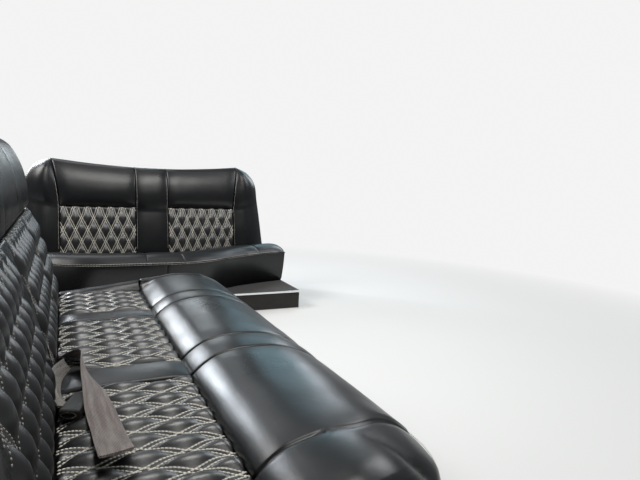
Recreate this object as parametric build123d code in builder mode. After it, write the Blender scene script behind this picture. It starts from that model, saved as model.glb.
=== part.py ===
from build123d import *
import math
import os

# Overall sizes of the lounge seat, in millimetres.
# X runs across the car (wall at the left), Y along it (rear bench at the far end), Z up.
REAR_WIDTH = 1460        # rear bench, wall to console
SIDE_LENGTH = 1500       # side bench, near end to far end
FOOT_GAP = 600           # floor between the side bench and the rear plinth
REAR_BASE = 680          # rear plinth, front to back
SEAT_Z = 300             # top of the side bench's quilted seat panels
REAR_SEAT_Z = 256        # top of the rear bench's seat panels, lower behind its bolster
RISER_H = 100            # carpeted plinth below the cushions
SIDE_TOP_Z = 812         # top of the side backrest
REAR_TOP_Z = 764         # top of the rear backrest

# Side bench, measured out from the wall.
SIDE_BACK_DEPTH = 254    # wall to the crease at seat height
SIDE_QUILT_DEPTH = 273   # crease to the bolster seam
SIDE_BOLSTER_DEPTH = 318 # bolster seam to the front of the roll
SIDE_HEAD_DEPTH = 112    # wall to the front of the head roll at its top
NEAR_CORNER_R = 140      # plan radius of the near front corner
QUILT_TOP_Z = 590        # where the side back's quilting ends
BOLSTER_CROWN = 135      # bolster seam to the highest line of the roll
FAR_RISE = 32            # far end of the side seat, up to the bolster's seam

# Upholstery thicknesses and heights shared by both benches.
SEAT_PAD = 38            # quilted seat panel over the cushion core
BACK_PAD = 55            # quilted back panel over its shell, at the foot
BOLSTER_RISE = 45        # crown of the bolster over the quilts
NOSE_DROP = 10           # front of the roll, below the quilts
NOSE_LIP = 12            # how far the roll overhangs the apron
CREASE_DIP = 5           # seam of the bolster, below the quilts
PLINTH_RECESS = 55       # plinth behind the apron's top edge
APRON_TAPER = 35         # apron's foot behind its top edge

# Rear bench.
REAR_BACK_DEPTH = 250    # rear face to the crease at seat height
REAR_BOLSTER_DEPTH = 180
REAR_PAD = 26            # rear seat panels over the cushion core
REAR_APRON_Z = 274       # top of the rear apron, under the thin bolster
REAR_CROWN_Z = 320       # highest line of the rear bolster
REAR_SILL = 60           # front edge of the core, behind which the rear bolster is let in
FIT = 0.3                # play of the bolster behind that edge
REAR_TIP = 95            # length over which the bolster's right end runs down
REAR_OVERHANG = 55       # bolster in front of the plinth
REAR_FLAT = (-360, 150)  # X of both ends of the front's flat middle
LEFT_TURN = 150          # left end of the front, behind its flat middle
SWEEP_X = 440            # where the right sweep flattens
RIGHT_SWEEP = (190, 280) # how far back the sweep is there, and at the right end
REAR_QUILT_TOP_Z = 513
REAR_HEAD_DEPTH = 140    # rear face to the head roll's front near its top
REAR_FOOT_INSET = 30     # foot of the back, in from the bench's ends
REAR_SHOULDER_INSET = 89
REAR_TOP_INSET = 210     # ends of the top edge
REAR_SHOULDER_Z = 630
END_SEAM_SLANT = (12, 38) # seams of the end sections, further out halfway up and at the top
REAR_TOP_DIP = 30        # top edge lower in the middle
CENTRE_HALF = 88         # half width of the plain centre strip
REAR_QUILT_W = 387       # each quilted panel, across the car

# Plinth trim and fixings.
STRIP_H = 12
STRIP_T = 4
INSERT_R = 5.25          # threaded inserts for 10 mm bolts
INSERT_DEPTH = 45
SIDE_BOLTS = (500, 1200) # spacing across and along, side plinth
REAR_BOLTS = (1200, 400) # spacing across and along, rear plinth

# Lap belt.
WEBBING_W = 48
WEBBING_T = 1.6
LIE = 0.3                # what lies on the quilting stays this far off it

WALL_X = -REAR_WIDTH / 2
RIGHT_X = REAR_WIDTH / 2
LENGTH = SIDE_LENGTH + FOOT_GAP + REAR_BASE
NEAR_Y = -LENGTH / 2
REAR_Y = LENGTH / 2
SIDE_FAR_Y = NEAR_Y + SIDE_LENGTH
REAR_BASE_Y = REAR_Y - REAR_BASE
CORE_TOP = SEAT_Z - SEAT_PAD
REAR_CORE_TOP = REAR_SEAT_Z - REAR_PAD
REAR_HALF_FOOT = REAR_WIDTH / 2 - REAR_FOOT_INSET
REAR_HALF_SHOULDER = REAR_WIDTH / 2 - REAR_SHOULDER_INSET
REAR_HALF_TOP = REAR_WIDTH / 2 - REAR_TOP_INSET
CREASE_X = WALL_X + SIDE_BACK_DEPTH
SEAM_X = CREASE_X + SIDE_QUILT_DEPTH
FRONT_X = SEAM_X + SIDE_BOLSTER_DEPTH
CREASE_Y = REAR_Y - REAR_BACK_DEPTH

# Panels along the side bench, from its far end: name, length.
# The near end panel takes what is left of the bench.
SIDE_PANELS = (
    ("border", 40),
    ("quilt_1", 270),
    ("strap_1", 90),
    ("quilt_2", 390),
    ("strap_2", 105),
    ("quilt_3", 512),
)

os.makedirs("parts", exist_ok=True)


def keep(part, name):
    part.label = name
    export_step(part, "parts/" + name + ".step")


def side_stations():
    """Name, near Y and far Y of each panel along the side bench."""
    rows = []
    y = SIDE_FAR_Y
    for name, length in SIDE_PANELS:
        rows.append((name, y - length, y))
        y -= length
    rows.append(("near_end", NEAR_Y, y))
    return rows


def at_y(y):
    return Plane.XZ.offset(-y)


# Side plinth: a carpeted box, rounded at its near front corner, with threaded inserts below.
PLINTH_X = FRONT_X - NOSE_LIP - PLINTH_RECESS
with BuildPart() as riser_side:
    with BuildSketch():
        with BuildLine():
            Polyline((WALL_X, SIDE_FAR_Y), (WALL_X, NEAR_Y + PLINTH_RECESS),
                     (PLINTH_X - NEAR_CORNER_R, NEAR_Y + PLINTH_RECESS))
            RadiusArc((PLINTH_X - NEAR_CORNER_R, NEAR_Y + PLINTH_RECESS),
                      (PLINTH_X, NEAR_Y + PLINTH_RECESS + NEAR_CORNER_R), -NEAR_CORNER_R)
            Polyline((PLINTH_X, NEAR_Y + PLINTH_RECESS + NEAR_CORNER_R),
                     (PLINTH_X, SIDE_FAR_Y), (WALL_X, SIDE_FAR_Y))
        make_face()
    extrude(amount=RISER_H)
    with Locations(((WALL_X + PLINTH_X) / 2, (NEAR_Y + SIDE_FAR_Y) / 2)):
        with GridLocations(SIDE_BOLTS[0], SIDE_BOLTS[1], 2, 2):
            Cylinder(INSERT_R, INSERT_DEPTH, align=(Align.CENTER, Align.CENTER, Align.MIN),
                     mode=Mode.SUBTRACT)
keep(riser_side.part, "riser_side")

# Corner plinth: the low link along the wall, between the two benches.
with BuildPart() as riser_corner:
    with BuildSketch():
        with Locations(((WALL_X + CREASE_X) / 2, (SIDE_FAR_Y + REAR_BASE_Y) / 2)):
            Rectangle(CREASE_X - WALL_X, REAR_BASE_Y - SIDE_FAR_Y)
    extrude(amount=RISER_H)
keep(riser_corner.part, "riser_corner")

# Rear plinth: straight fronted, across the whole car.
with BuildPart() as riser_rear:
    with BuildSketch():
        with Locations((0, (REAR_BASE_Y + REAR_Y) / 2)):
            Rectangle(REAR_WIDTH, REAR_BASE)
    extrude(amount=RISER_H)
    with Locations((0, (REAR_BASE_Y + REAR_Y) / 2)):
        with GridLocations(REAR_BOLTS[0], REAR_BOLTS[1], 2, 2):
            Cylinder(INSERT_R, INSERT_DEPTH, align=(Align.CENTER, Align.CENTER, Align.MIN),
                     mode=Mode.SUBTRACT)
keep(riser_rear.part, "riser_rear")

# Bright strip along the rear plinth's top front edge.
with BuildPart() as kick_strip:
    with BuildSketch(Plane.YZ.offset(CREASE_X)):
        with Locations((REAR_BASE_Y - STRIP_T / 2, RISER_H - STRIP_H / 2)):
            RectangleRounded(STRIP_T, STRIP_H, STRIP_T * 0.45)
    extrude(amount=RIGHT_X - CREASE_X)
keep(kick_strip.part, "kick_strip")


def side_plan(inset, z):
    """The side cushion seen from above at a height, its near front corner rounded."""
    near = NEAR_Y + inset
    front = FRONT_X - inset
    with BuildSketch(Plane.XY.offset(z)) as face:
        with BuildLine():
            Polyline((CREASE_X, SIDE_FAR_Y), (CREASE_X, near), (front - NEAR_CORNER_R, near))
            RadiusArc((front - NEAR_CORNER_R, near), (front, near + NEAR_CORNER_R), -NEAR_CORNER_R)
            Polyline((front, near + NEAR_CORNER_R), (front, SIDE_FAR_Y), (CREASE_X, SIDE_FAR_Y))
        make_face()
    return face.sketch


# Side cushion core: the upholstered block whose faces are the apron, drawn in towards the plinth.
with BuildPart() as side_seat_core:
    add(side_plan(NOSE_LIP + APRON_TAPER, RISER_H))
    add(side_plan(NOSE_LIP, CORE_TOP))
    loft(ruled=True)
keep(side_seat_core.part, "side_seat_core")

# Side seat panels, quilted and plain, between the crease and the bolster.
END_ROLL = 70
FAR_ROLL = 36
ROLL_TOP = SEAT_Z + BOLSTER_RISE + 14
FAR_CREST = 12           # from the far end back to the highest line of its roll
FAR_DROP = 18            # how far the end has dropped from there
for panel, near, far in side_stations():
    with BuildPart() as seat_panel:
        with BuildSketch(Plane.XY.offset(CORE_TOP)):
            with Locations(((CREASE_X + SEAM_X) / 2, (near + far) / 2)):
                Rectangle(SEAM_X - CREASE_X, far - near)
        if far < SIDE_FAR_Y:
            extrude(amount=SEAT_PAD)
        else:
            extrude(amount=SEAT_PAD + 2 * FAR_RISE)
            with BuildSketch(at_y(far)):
                Polygon((CREASE_X, CORE_TOP), (SEAM_X, CORE_TOP), (SEAM_X, SEAT_Z + FAR_RISE),
                        (CREASE_X, SEAT_Z), align=None)
            extrude(amount=far - near, mode=Mode.INTERSECT)
            with BuildSketch(Plane.YZ.offset(CREASE_X)):
                crest = SEAT_Z + FAR_RISE + 2
                with BuildLine():
                    Polyline((far, crest - FAR_DROP), (far, CORE_TOP), (near, CORE_TOP), (near, SEAT_Z))
                    ThreePointArc((near, SEAT_Z), (near + 12, SEAT_Z + FAR_RISE * 0.72),
                                  (far - FAR_CREST, crest))
                    ThreePointArc((far - FAR_CREST, crest), (far - 3, crest - FAR_DROP * 0.4),
                                  (far, crest - FAR_DROP))
                make_face()
            extrude(amount=SEAM_X - CREASE_X, mode=Mode.INTERSECT)
        if near == NEAR_Y:
            edge = seat_panel.edges().filter_by(Axis.X).group_by(Axis.Y)[0].sort_by(Axis.Z)[-1]
            fillet(edge, SEAT_PAD - 4)
    keep(seat_panel.part, "side_seat_" + panel)

# Side bolster: one long roll, rounded at its near corner.
with BuildPart() as side_bolster:
    with BuildSketch(at_y(NEAR_Y)):
        with BuildLine():
            Polyline((FRONT_X - NOSE_LIP, CORE_TOP), (SEAM_X, CORE_TOP),
                     (SEAM_X, SEAT_Z - CREASE_DIP))
            ThreePointArc((SEAM_X, SEAT_Z - CREASE_DIP),
                          (SEAM_X + BOLSTER_CROWN * 0.34, SEAT_Z + BOLSTER_RISE * 0.66),
                          (SEAM_X + BOLSTER_CROWN, SEAT_Z + BOLSTER_RISE))
            ThreePointArc((SEAM_X + BOLSTER_CROWN, SEAT_Z + BOLSTER_RISE),
                          (FRONT_X - 75, SEAT_Z + BOLSTER_RISE * 0.68),
                          (FRONT_X - 8, SEAT_Z - NOSE_DROP))
            ThreePointArc((FRONT_X - 8, SEAT_Z - NOSE_DROP), (FRONT_X, CORE_TOP + 14),
                          (FRONT_X - NOSE_LIP, CORE_TOP))
        make_face()
    extrude(amount=-SIDE_LENGTH)
    with BuildSketch(at_y(SIDE_FAR_Y)):
        Polygon((SEAM_X, CORE_TOP), (SEAM_X + BOLSTER_CROWN, CORE_TOP),
                (SEAM_X + BOLSTER_CROWN, SEAT_Z + BOLSTER_RISE), (SEAM_X, SEAT_Z + FAR_RISE), align=None)
    extrude(amount=SIDE_PANELS[0][1])
    with BuildSketch(Plane.XY.offset(CORE_TOP)):
        with BuildLine():
            Polyline((SEAM_X, SIDE_FAR_Y), (SEAM_X, NEAR_Y), (FRONT_X - NEAR_CORNER_R, NEAR_Y))
            RadiusArc((FRONT_X - NEAR_CORNER_R, NEAR_Y), (FRONT_X, NEAR_Y + NEAR_CORNER_R),
                      -NEAR_CORNER_R)
            Polyline((FRONT_X, NEAR_Y + NEAR_CORNER_R), (FRONT_X, SIDE_FAR_Y),
                     (SEAM_X, SIDE_FAR_Y))
        make_face()
    extrude(amount=2 * BOLSTER_RISE + SEAT_PAD, mode=Mode.INTERSECT)
    with BuildSketch(Plane.YZ.offset(SEAM_X)):
        with BuildLine():
            Polyline((SIDE_FAR_Y - FAR_ROLL, ROLL_TOP), (NEAR_Y + END_ROLL, ROLL_TOP))
            RadiusArc((NEAR_Y + END_ROLL, ROLL_TOP), (NEAR_Y, ROLL_TOP - END_ROLL), -END_ROLL)
            Polyline((NEAR_Y, ROLL_TOP - END_ROLL), (NEAR_Y, CORE_TOP), (SIDE_FAR_Y, CORE_TOP),
                     (SIDE_FAR_Y, ROLL_TOP - FAR_ROLL))
            RadiusArc((SIDE_FAR_Y, ROLL_TOP - FAR_ROLL), (SIDE_FAR_Y - FAR_ROLL, ROLL_TOP),
                      -FAR_ROLL)
        make_face()
    extrude(amount=SIDE_BOLSTER_DEPTH, mode=Mode.INTERSECT)
keep(side_bolster.part, "side_bolster")

# Side backrest: a boxed shell against the wall, reclined in front.
SIDE_RECLINE = (SIDE_BACK_DEPTH - SIDE_HEAD_DEPTH) / (SIDE_TOP_Z - SEAT_Z)
SHELL_TOP_Z = SIDE_TOP_Z - 34


def side_shell_x(z):
    return CREASE_X - BACK_PAD - SIDE_RECLINE * 0.85 * (z - CORE_TOP)


with BuildPart() as side_back_shell:
    with BuildSketch(at_y(NEAR_Y)):
        with BuildLine():
            Polyline((WALL_X, RISER_H), (CREASE_X, RISER_H), (CREASE_X, CORE_TOP),
                     (side_shell_x(CORE_TOP), CORE_TOP), (side_shell_x(SHELL_TOP_Z), SHELL_TOP_Z),
                     (WALL_X, SHELL_TOP_Z), (WALL_X, RISER_H))
        make_face()
    extrude(amount=-SIDE_LENGTH)
keep(side_back_shell.part, "side_back_shell")

# Side back panels, quilted and plain, standing on the shell's step behind the seat panels.
QUILT_TOP_X = CREASE_X - 84
for panel, near, far in side_stations():
    with BuildPart() as back_panel:
        with BuildSketch(at_y(near)):
            with BuildLine():
                Polyline((QUILT_TOP_X, QUILT_TOP_Z), (side_shell_x(QUILT_TOP_Z), QUILT_TOP_Z),
                         (side_shell_x(CORE_TOP), CORE_TOP), (CREASE_X, CORE_TOP),
                         (CREASE_X, SEAT_Z))
                ThreePointArc((CREASE_X, SEAT_Z), (CREASE_X - 25, (SEAT_Z + QUILT_TOP_Z) / 2),
                              (QUILT_TOP_X, QUILT_TOP_Z))
            make_face()
        extrude(amount=near - far)
    keep(back_panel.part, "side_back_" + panel)

# Side head roll: plain leather over the top of the whole side back.
HEAD_X = WALL_X + SIDE_HEAD_DEPTH
HEAD_MID_Z = QUILT_TOP_Z + 0.45 * (SIDE_TOP_Z - QUILT_TOP_Z)
with BuildPart() as side_head_roll:
    with BuildSketch(at_y(NEAR_Y)):
        with BuildLine():
            Polyline((WALL_X + 30, SIDE_TOP_Z - 4), (WALL_X + 30, SHELL_TOP_Z),
                     (side_shell_x(SHELL_TOP_Z), SHELL_TOP_Z),
                     (side_shell_x(QUILT_TOP_Z), QUILT_TOP_Z), (QUILT_TOP_X, QUILT_TOP_Z))
            ThreePointArc((QUILT_TOP_X, QUILT_TOP_Z), (QUILT_TOP_X - 10, HEAD_MID_Z),
                          (HEAD_X, SIDE_TOP_Z - 18))
            ThreePointArc((HEAD_X, SIDE_TOP_Z - 18), (HEAD_X - 55, SIDE_TOP_Z),
                          (WALL_X + 30, SIDE_TOP_Z - 4))
        make_face()
    extrude(amount=-SIDE_LENGTH)
keep(side_head_roll.part, "side_head_roll")


# Rear cushion front, seen from above: X, Y before the corners are rounded.
# It is flat in the middle, turned back a little at the left and swept back at the right.
FRONT_Y = REAR_BASE_Y - REAR_OVERHANG
REAR_FRONT = (
    (WALL_X, FRONT_Y + LEFT_TURN),
    (REAR_FLAT[0], FRONT_Y),
    (REAR_FLAT[1], FRONT_Y),
    (SWEEP_X, FRONT_Y + RIGHT_SWEEP[0]),
    (RIGHT_X, FRONT_Y + RIGHT_SWEEP[1]),
)
REAR_FRONT_R = (420, 480, 560)
REACH = 500


def front_line(shift):
    """Corner points of the rear front, moved rearwards and run on past both ends."""
    pts = [(x, y + shift) for x, y in REAR_FRONT]
    a, b, c, d = pts[0], pts[1], pts[-2], pts[-1]
    left = (a[0] - REACH, a[1] - REACH * (b[1] - a[1]) / (b[0] - a[0]))
    right = (d[0] + REACH, d[1] + REACH * (d[1] - c[1]) / (d[0] - c[0]))
    return left, *pts[1:-1], right


def rear_plan(shift, inset, back_y, z):
    """Plan face of the rear cushion behind its front line, between the walls, at a height."""
    pts = front_line(shift)
    with BuildSketch(Plane.XY.offset(z)) as area:
        with BuildLine():
            front = FilletPolyline(*pts, radius=REAR_FRONT_R)
            Polyline(pts[-1], (pts[-1][0], back_y + 2 * REACH), (pts[0][0], back_y + 2 * REACH),
                     pts[0])
        make_face()
        if inset:
            offset(amount=-inset)
        with Locations((0, back_y - REACH)):
            Rectangle(REAR_WIDTH, 2 * REACH, mode=Mode.INTERSECT)
    return area.sketch


# Rear cushion core: the upholstered block whose front is the apron.
with BuildPart() as rear_seat_core:
    add(rear_plan(NOSE_LIP + APRON_TAPER, 0, CREASE_Y, RISER_H))
    add(rear_plan(NOSE_LIP, 0, CREASE_Y, REAR_APRON_Z))
    loft(ruled=True)
    extrude(rear_plan(0, REAR_SILL - FIT, CREASE_Y, REAR_CORE_TOP), amount=REAR_SILL, mode=Mode.SUBTRACT)
keep(rear_seat_core.part, "rear_seat_core")

# Rear bolster: the thin roll along the rear cushion's curved front, run down at its right end.
REAR_ROLL_TOP = 95       # from the front edge back to the crown
with BuildPart() as rear_bolster:
    with BuildLine() as rear_path:
        FilletPolyline(*front_line(0), radius=REAR_FRONT_R)
    path_start = rear_path.wires()[0] @ 0
    path_way = rear_path.wires()[0] % 0
    with BuildSketch(Plane(origin=path_start, x_dir=(-path_way.Y, path_way.X, 0),
                           z_dir=path_way)):
        with BuildLine():
            Polyline((NOSE_LIP, REAR_APRON_Z), (REAR_SILL, REAR_APRON_Z), (REAR_SILL, REAR_CORE_TOP),
                     (REAR_BOLSTER_DEPTH, REAR_CORE_TOP), (REAR_BOLSTER_DEPTH, REAR_SEAT_Z - CREASE_DIP))
            ThreePointArc((REAR_BOLSTER_DEPTH, REAR_SEAT_Z - CREASE_DIP),
                          (REAR_BOLSTER_DEPTH - 26, REAR_CROWN_Z - 24), (REAR_ROLL_TOP, REAR_CROWN_Z))
            ThreePointArc((REAR_ROLL_TOP, REAR_CROWN_Z), (34, REAR_CROWN_Z - 11), (5, REAR_APRON_Z + 15))
            ThreePointArc((5, REAR_APRON_Z + 15), (0, REAR_APRON_Z + 8), (4, REAR_APRON_Z + 1))
            Line((4, REAR_APRON_Z + 1), (NOSE_LIP, REAR_APRON_Z))
        make_face()
    sweep(path=rear_path.wires()[0])
    with BuildSketch(Plane.XZ.offset(-CREASE_Y)):
        with BuildLine():
            Polyline((RIGHT_X - REAR_TIP, REAR_CROWN_Z + 3), (WALL_X, REAR_CROWN_Z + 3),
                     (WALL_X, REAR_CORE_TOP), (RIGHT_X, REAR_CORE_TOP), (RIGHT_X, REAR_APRON_Z + 12))
            ThreePointArc((RIGHT_X, REAR_APRON_Z + 12), (RIGHT_X - REAR_TIP * 0.25, REAR_CROWN_Z - 10),
                          (RIGHT_X - REAR_TIP, REAR_CROWN_Z + 3))
        make_face()
    extrude(amount=2 * REACH, mode=Mode.INTERSECT)
keep(rear_bolster.part, "rear_bolster")

# Rear seat panels behind the bolster: name, left X, right X.
QUILT_OUT_X = CENTRE_HALF + REAR_QUILT_W
REAR_PANELS = (
    ("end_left", WALL_X, -QUILT_OUT_X),
    ("quilt_left", -QUILT_OUT_X, -CENTRE_HALF),
    ("centre", -CENTRE_HALF, CENTRE_HALF),
    ("quilt_right", CENTRE_HALF, QUILT_OUT_X),
    ("end_right", QUILT_OUT_X, RIGHT_X),
)
for panel, left, right in REAR_PANELS:
    with BuildPart() as seat_panel:
        with BuildSketch(Plane.XY.offset(REAR_CORE_TOP)):
            add(rear_plan(0, REAR_BOLSTER_DEPTH, CREASE_Y, 0))
            with Locations(((left + right) / 2, CREASE_Y)):
                Rectangle(right - left, 4 * REACH, mode=Mode.INTERSECT)
        extrude(amount=REAR_PAD)
    keep(seat_panel.part, "rear_seat_" + panel)

# Rear backrest: shell, then panels, all inside one front outline with rounded shoulders.
REAR_RECLINE = (REAR_BACK_DEPTH - REAR_HEAD_DEPTH) / (REAR_TOP_Z - REAR_SEAT_Z)
REAR_SHELL_TOP = REAR_TOP_Z - 60


def rear_shell_y(z):
    return CREASE_Y + BACK_PAD + REAR_RECLINE * 0.85 * (z - REAR_CORE_TOP)


def rear_outline(inset):
    """The rear back seen from the front, with rounded shoulders and a dipped top edge."""
    foot = REAR_HALF_FOOT - inset
    side = REAR_HALF_SHOULDER - inset
    top = REAR_HALF_TOP - inset
    crown = REAR_TOP_Z - inset
    mid = (side + top) / 2 + 18
    with BuildSketch(Plane.XZ.offset(-REAR_Y)) as face:
        with BuildLine():
            Polyline((-side, REAR_SHOULDER_Z), (-foot, RISER_H), (foot, RISER_H),
                     (side, REAR_SHOULDER_Z))
            ThreePointArc((side, REAR_SHOULDER_Z), (mid, crown - 42), (top, crown))
            ThreePointArc((top, crown), (0, crown - REAR_TOP_DIP), (-top, crown))
            ThreePointArc((-top, crown), (-mid, crown - 42), (-side, REAR_SHOULDER_Z))
        make_face()
    return face.sketch


with BuildPart() as rear_back_shell:
    with BuildSketch(Plane.YZ.offset(-REAR_HALF_FOOT)):
        with BuildLine():
            Polyline((CREASE_Y, RISER_H), (REAR_Y, RISER_H), (REAR_Y, REAR_SHELL_TOP),
                     (rear_shell_y(REAR_SHELL_TOP), REAR_SHELL_TOP),
                     (rear_shell_y(REAR_CORE_TOP), REAR_CORE_TOP), (CREASE_Y, REAR_CORE_TOP),
                     (CREASE_Y, RISER_H))
        make_face()
    extrude(amount=2 * REAR_HALF_FOOT)
    extrude(rear_outline(8), amount=2 * REACH, mode=Mode.INTERSECT)
keep(rear_back_shell.part, "rear_back_shell")

# Rear back panels: name, left X, right X, whether the head roll is a piece of its own.
REAR_BACK_PANELS = (
    ("end_left", -REAR_HALF_FOOT, -QUILT_OUT_X, False),
    ("quilt_left", -QUILT_OUT_X, -CENTRE_HALF, True),
    ("centre", -CENTRE_HALF, CENTRE_HALF, False),
    ("quilt_right", CENTRE_HALF, QUILT_OUT_X, True),
    ("end_right", QUILT_OUT_X, REAR_HALF_FOOT, False),
)
REAR_QUILT_TOP_Y = CREASE_Y + 54
HEAD_Y = REAR_Y - REAR_HEAD_DEPTH
HEAD_BACK_Y = REAR_Y - 60
REAR_MID_Z = (REAR_QUILT_TOP_Z + REAR_TOP_Z) / 2


def lower_back_face():
    """Side view of a rear back panel, from the shell's step up to the top of the quilting."""
    with BuildSketch() as face:
        with BuildLine():
            Polyline((REAR_QUILT_TOP_Y, REAR_QUILT_TOP_Z),
                     (rear_shell_y(REAR_QUILT_TOP_Z), REAR_QUILT_TOP_Z),
                     (rear_shell_y(REAR_CORE_TOP), REAR_CORE_TOP), (CREASE_Y, REAR_CORE_TOP),
                     (CREASE_Y, REAR_SEAT_Z))
            ThreePointArc((CREASE_Y, REAR_SEAT_Z),
                          (CREASE_Y + 17, (REAR_SEAT_Z + REAR_QUILT_TOP_Z) / 2),
                          (REAR_QUILT_TOP_Y, REAR_QUILT_TOP_Z))
        make_face()
    return face.sketch


def head_roll_face():
    """Side view of the rear head roll, over the top of the shell."""
    with BuildSketch() as face:
        with BuildLine():
            Polyline((HEAD_BACK_Y, REAR_TOP_Z - 14), (HEAD_BACK_Y, REAR_SHELL_TOP),
                     (rear_shell_y(REAR_SHELL_TOP), REAR_SHELL_TOP),
                     (rear_shell_y(REAR_QUILT_TOP_Z), REAR_QUILT_TOP_Z),
                     (REAR_QUILT_TOP_Y, REAR_QUILT_TOP_Z))
            ThreePointArc((REAR_QUILT_TOP_Y, REAR_QUILT_TOP_Z), (REAR_QUILT_TOP_Y + 6, REAR_MID_Z),
                          (HEAD_Y, REAR_TOP_Z - 22))
            ThreePointArc((HEAD_Y, REAR_TOP_Z - 22), (HEAD_Y + 30, REAR_TOP_Z),
                          (HEAD_BACK_Y, REAR_TOP_Z - 14))
        make_face()
    return face.sketch


def inside_end_seams():
    """The rear back from the front, between the slanting seams of its end sections."""
    half, mid, top = QUILT_OUT_X, QUILT_OUT_X + END_SEAM_SLANT[0], QUILT_OUT_X + END_SEAM_SLANT[1]
    with BuildSketch(Plane.XZ.offset(-REAR_Y)) as face:
        with BuildLine():
            Polyline((-half, REAR_QUILT_TOP_Z), (-half, RISER_H), (half, RISER_H), (half, REAR_QUILT_TOP_Z))
            ThreePointArc((half, REAR_QUILT_TOP_Z), (mid, (REAR_QUILT_TOP_Z + REAR_TOP_Z) / 2), (top, REAR_TOP_Z))
            Polyline((top, REAR_TOP_Z), (top, REAR_TOP_Z + 20), (-top, REAR_TOP_Z + 20), (-top, REAR_TOP_Z))
            ThreePointArc((-top, REAR_TOP_Z), (-mid, (REAR_QUILT_TOP_Z + REAR_TOP_Z) / 2), (-half, REAR_QUILT_TOP_Z))
        make_face()
    return face.sketch


for panel, left, right, split_roll in REAR_BACK_PANELS:
    if split_roll:
        shapes = (("rear_back_" + panel, (lower_back_face(),)),
                  ("rear_head_" + panel.split("_")[1], (head_roll_face(),)))
    else:
        shapes = (("rear_back_" + panel, (lower_back_face(), head_roll_face())),)
    for name, faces in shapes:
        low = left - (END_SEAM_SLANT[1] if name == "rear_head_left" else 0)
        high = right + (END_SEAM_SLANT[1] if name == "rear_head_right" else 0)
        with BuildPart() as back_panel:
            for side_view in faces:
                with BuildSketch(Plane.YZ.offset(low)):
                    add(side_view)
                extrude(amount=high - low)
            extrude(rear_outline(0), amount=2 * REACH, mode=Mode.INTERSECT)
            if name.startswith("rear_head"):
                extrude(inside_end_seams(), amount=2 * REACH, mode=Mode.INTERSECT)
            if "_end_" in name:
                extrude(inside_end_seams(), amount=2 * REACH, mode=Mode.SUBTRACT)
        keep(back_panel.part, name)

# Lap belt: webbing laid towards the near end, from its tongue and over the buckle at the crease.
BELT_FROM = (CREASE_X + 28, SIDE_FAR_Y - 700)
BELT_TO = (CREASE_X + 86, SIDE_FAR_Y - 1232)
BELT_LENGTH = math.hypot(BELT_TO[0] - BELT_FROM[0], BELT_TO[1] - BELT_FROM[1])
BELT_WAY = Vector(BELT_TO[0] - BELT_FROM[0], BELT_TO[1] - BELT_FROM[1], 0).normalized()
TONGUE = (46, 46, 3)
BUCKLE = (80, 36, 20)
BUCKLE_AT = (CREASE_X + 36, SIDE_FAR_Y - 1008)
BUCKLE_TURN = 69
HEM = 28                 # folded end of the webbing, twice as thick
BELT_LIFT = 22           # how far the stiff end stands off the seat
SEAT_LIE = SEAT_Z + LIE

# Side view of the webbing's underside: along the belt, Z.
OVER_BUCKLE = SEAT_LIE + BUCKLE[2] + LIE
BELT_SIDE = (
    (0, SEAT_LIE + TONGUE[2]),
    (TONGUE[0], SEAT_LIE + TONGUE[2]),
    (170, SEAT_LIE + 4),
    (250, OVER_BUCKLE),
    (362, OVER_BUCKLE),
    (432, SEAT_LIE),
    (BELT_LENGTH - HEM, SEAT_LIE + BELT_LIFT * 0.6),
    (BELT_LENGTH, SEAT_LIE + BELT_LIFT),
)
with BuildPart() as belt_webbing:
    with BuildSketch(Plane(origin=(BELT_FROM[0], BELT_FROM[1], 0), x_dir=BELT_WAY,
                           z_dir=(BELT_WAY.Y, -BELT_WAY.X, 0))):
        with BuildLine():
            Polyline(*BELT_SIDE, *[(x, z + 2 * WEBBING_T) for x, z in BELT_SIDE[:-3:-1]],
                     *[(x, z + WEBBING_T) for x, z in BELT_SIDE[-2::-1]], BELT_SIDE[0])
        make_face()
    extrude(amount=WEBBING_W / 2, both=True)
keep(belt_webbing.part, "belt_webbing")

with BuildPart() as belt_tongue:
    with BuildSketch(Plane(origin=(BELT_FROM[0], BELT_FROM[1], SEAT_LIE), x_dir=BELT_WAY, z_dir=(0, 0, 1))):
        with Locations((TONGUE[0] / 2 - 12, 0)):
            RectangleRounded(TONGUE[0] + 24, TONGUE[1], 6)
            with Locations((-24, 0)):
                Rectangle(8, TONGUE[1] - 14, mode=Mode.SUBTRACT)
    extrude(amount=TONGUE[2])
keep(belt_tongue.part, "belt_tongue")

with BuildPart() as belt_buckle:
    with BuildSketch(Plane.XY.offset(SEAT_LIE)):
        with Locations(Location((BUCKLE_AT[0], BUCKLE_AT[1], 0), (0, 0, BUCKLE_TURN))):
            RectangleRounded(BUCKLE[0], BUCKLE[1], 6)
    extrude(amount=BUCKLE[2])
    chamfer(belt_buckle.faces().sort_by(Axis.Z)[-1].edges(), 3)
keep(belt_buckle.part, "belt_buckle")

# Stalk: the buckle's own strap in its sleeve, standing on edge along the crease.
STALK = ((CREASE_X + 12, SIDE_FAR_Y - 810), (CREASE_X + 5, SIDE_FAR_Y - 910), (CREASE_X + 11, SIDE_FAR_Y - 1006))
STALK_H = 26
STALK_T = 3
with BuildPart() as belt_stalk:
    with BuildSketch(Plane.XY.offset(SEAT_LIE)):
        with BuildLine():
            ThreePointArc(*STALK)
            ThreePointArc(*[(x + STALK_T, y) for x, y in STALK])
            for end in (STALK[0], STALK[-1]):
                Line(end, (end[0] + STALK_T, end[1]))
        make_face()
    extrude(amount=STALK_H)
keep(belt_stalk.part, "belt_stalk")
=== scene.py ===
import bmesh
import bpy
import math
from mathutils import Matrix, Vector, noise


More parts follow.
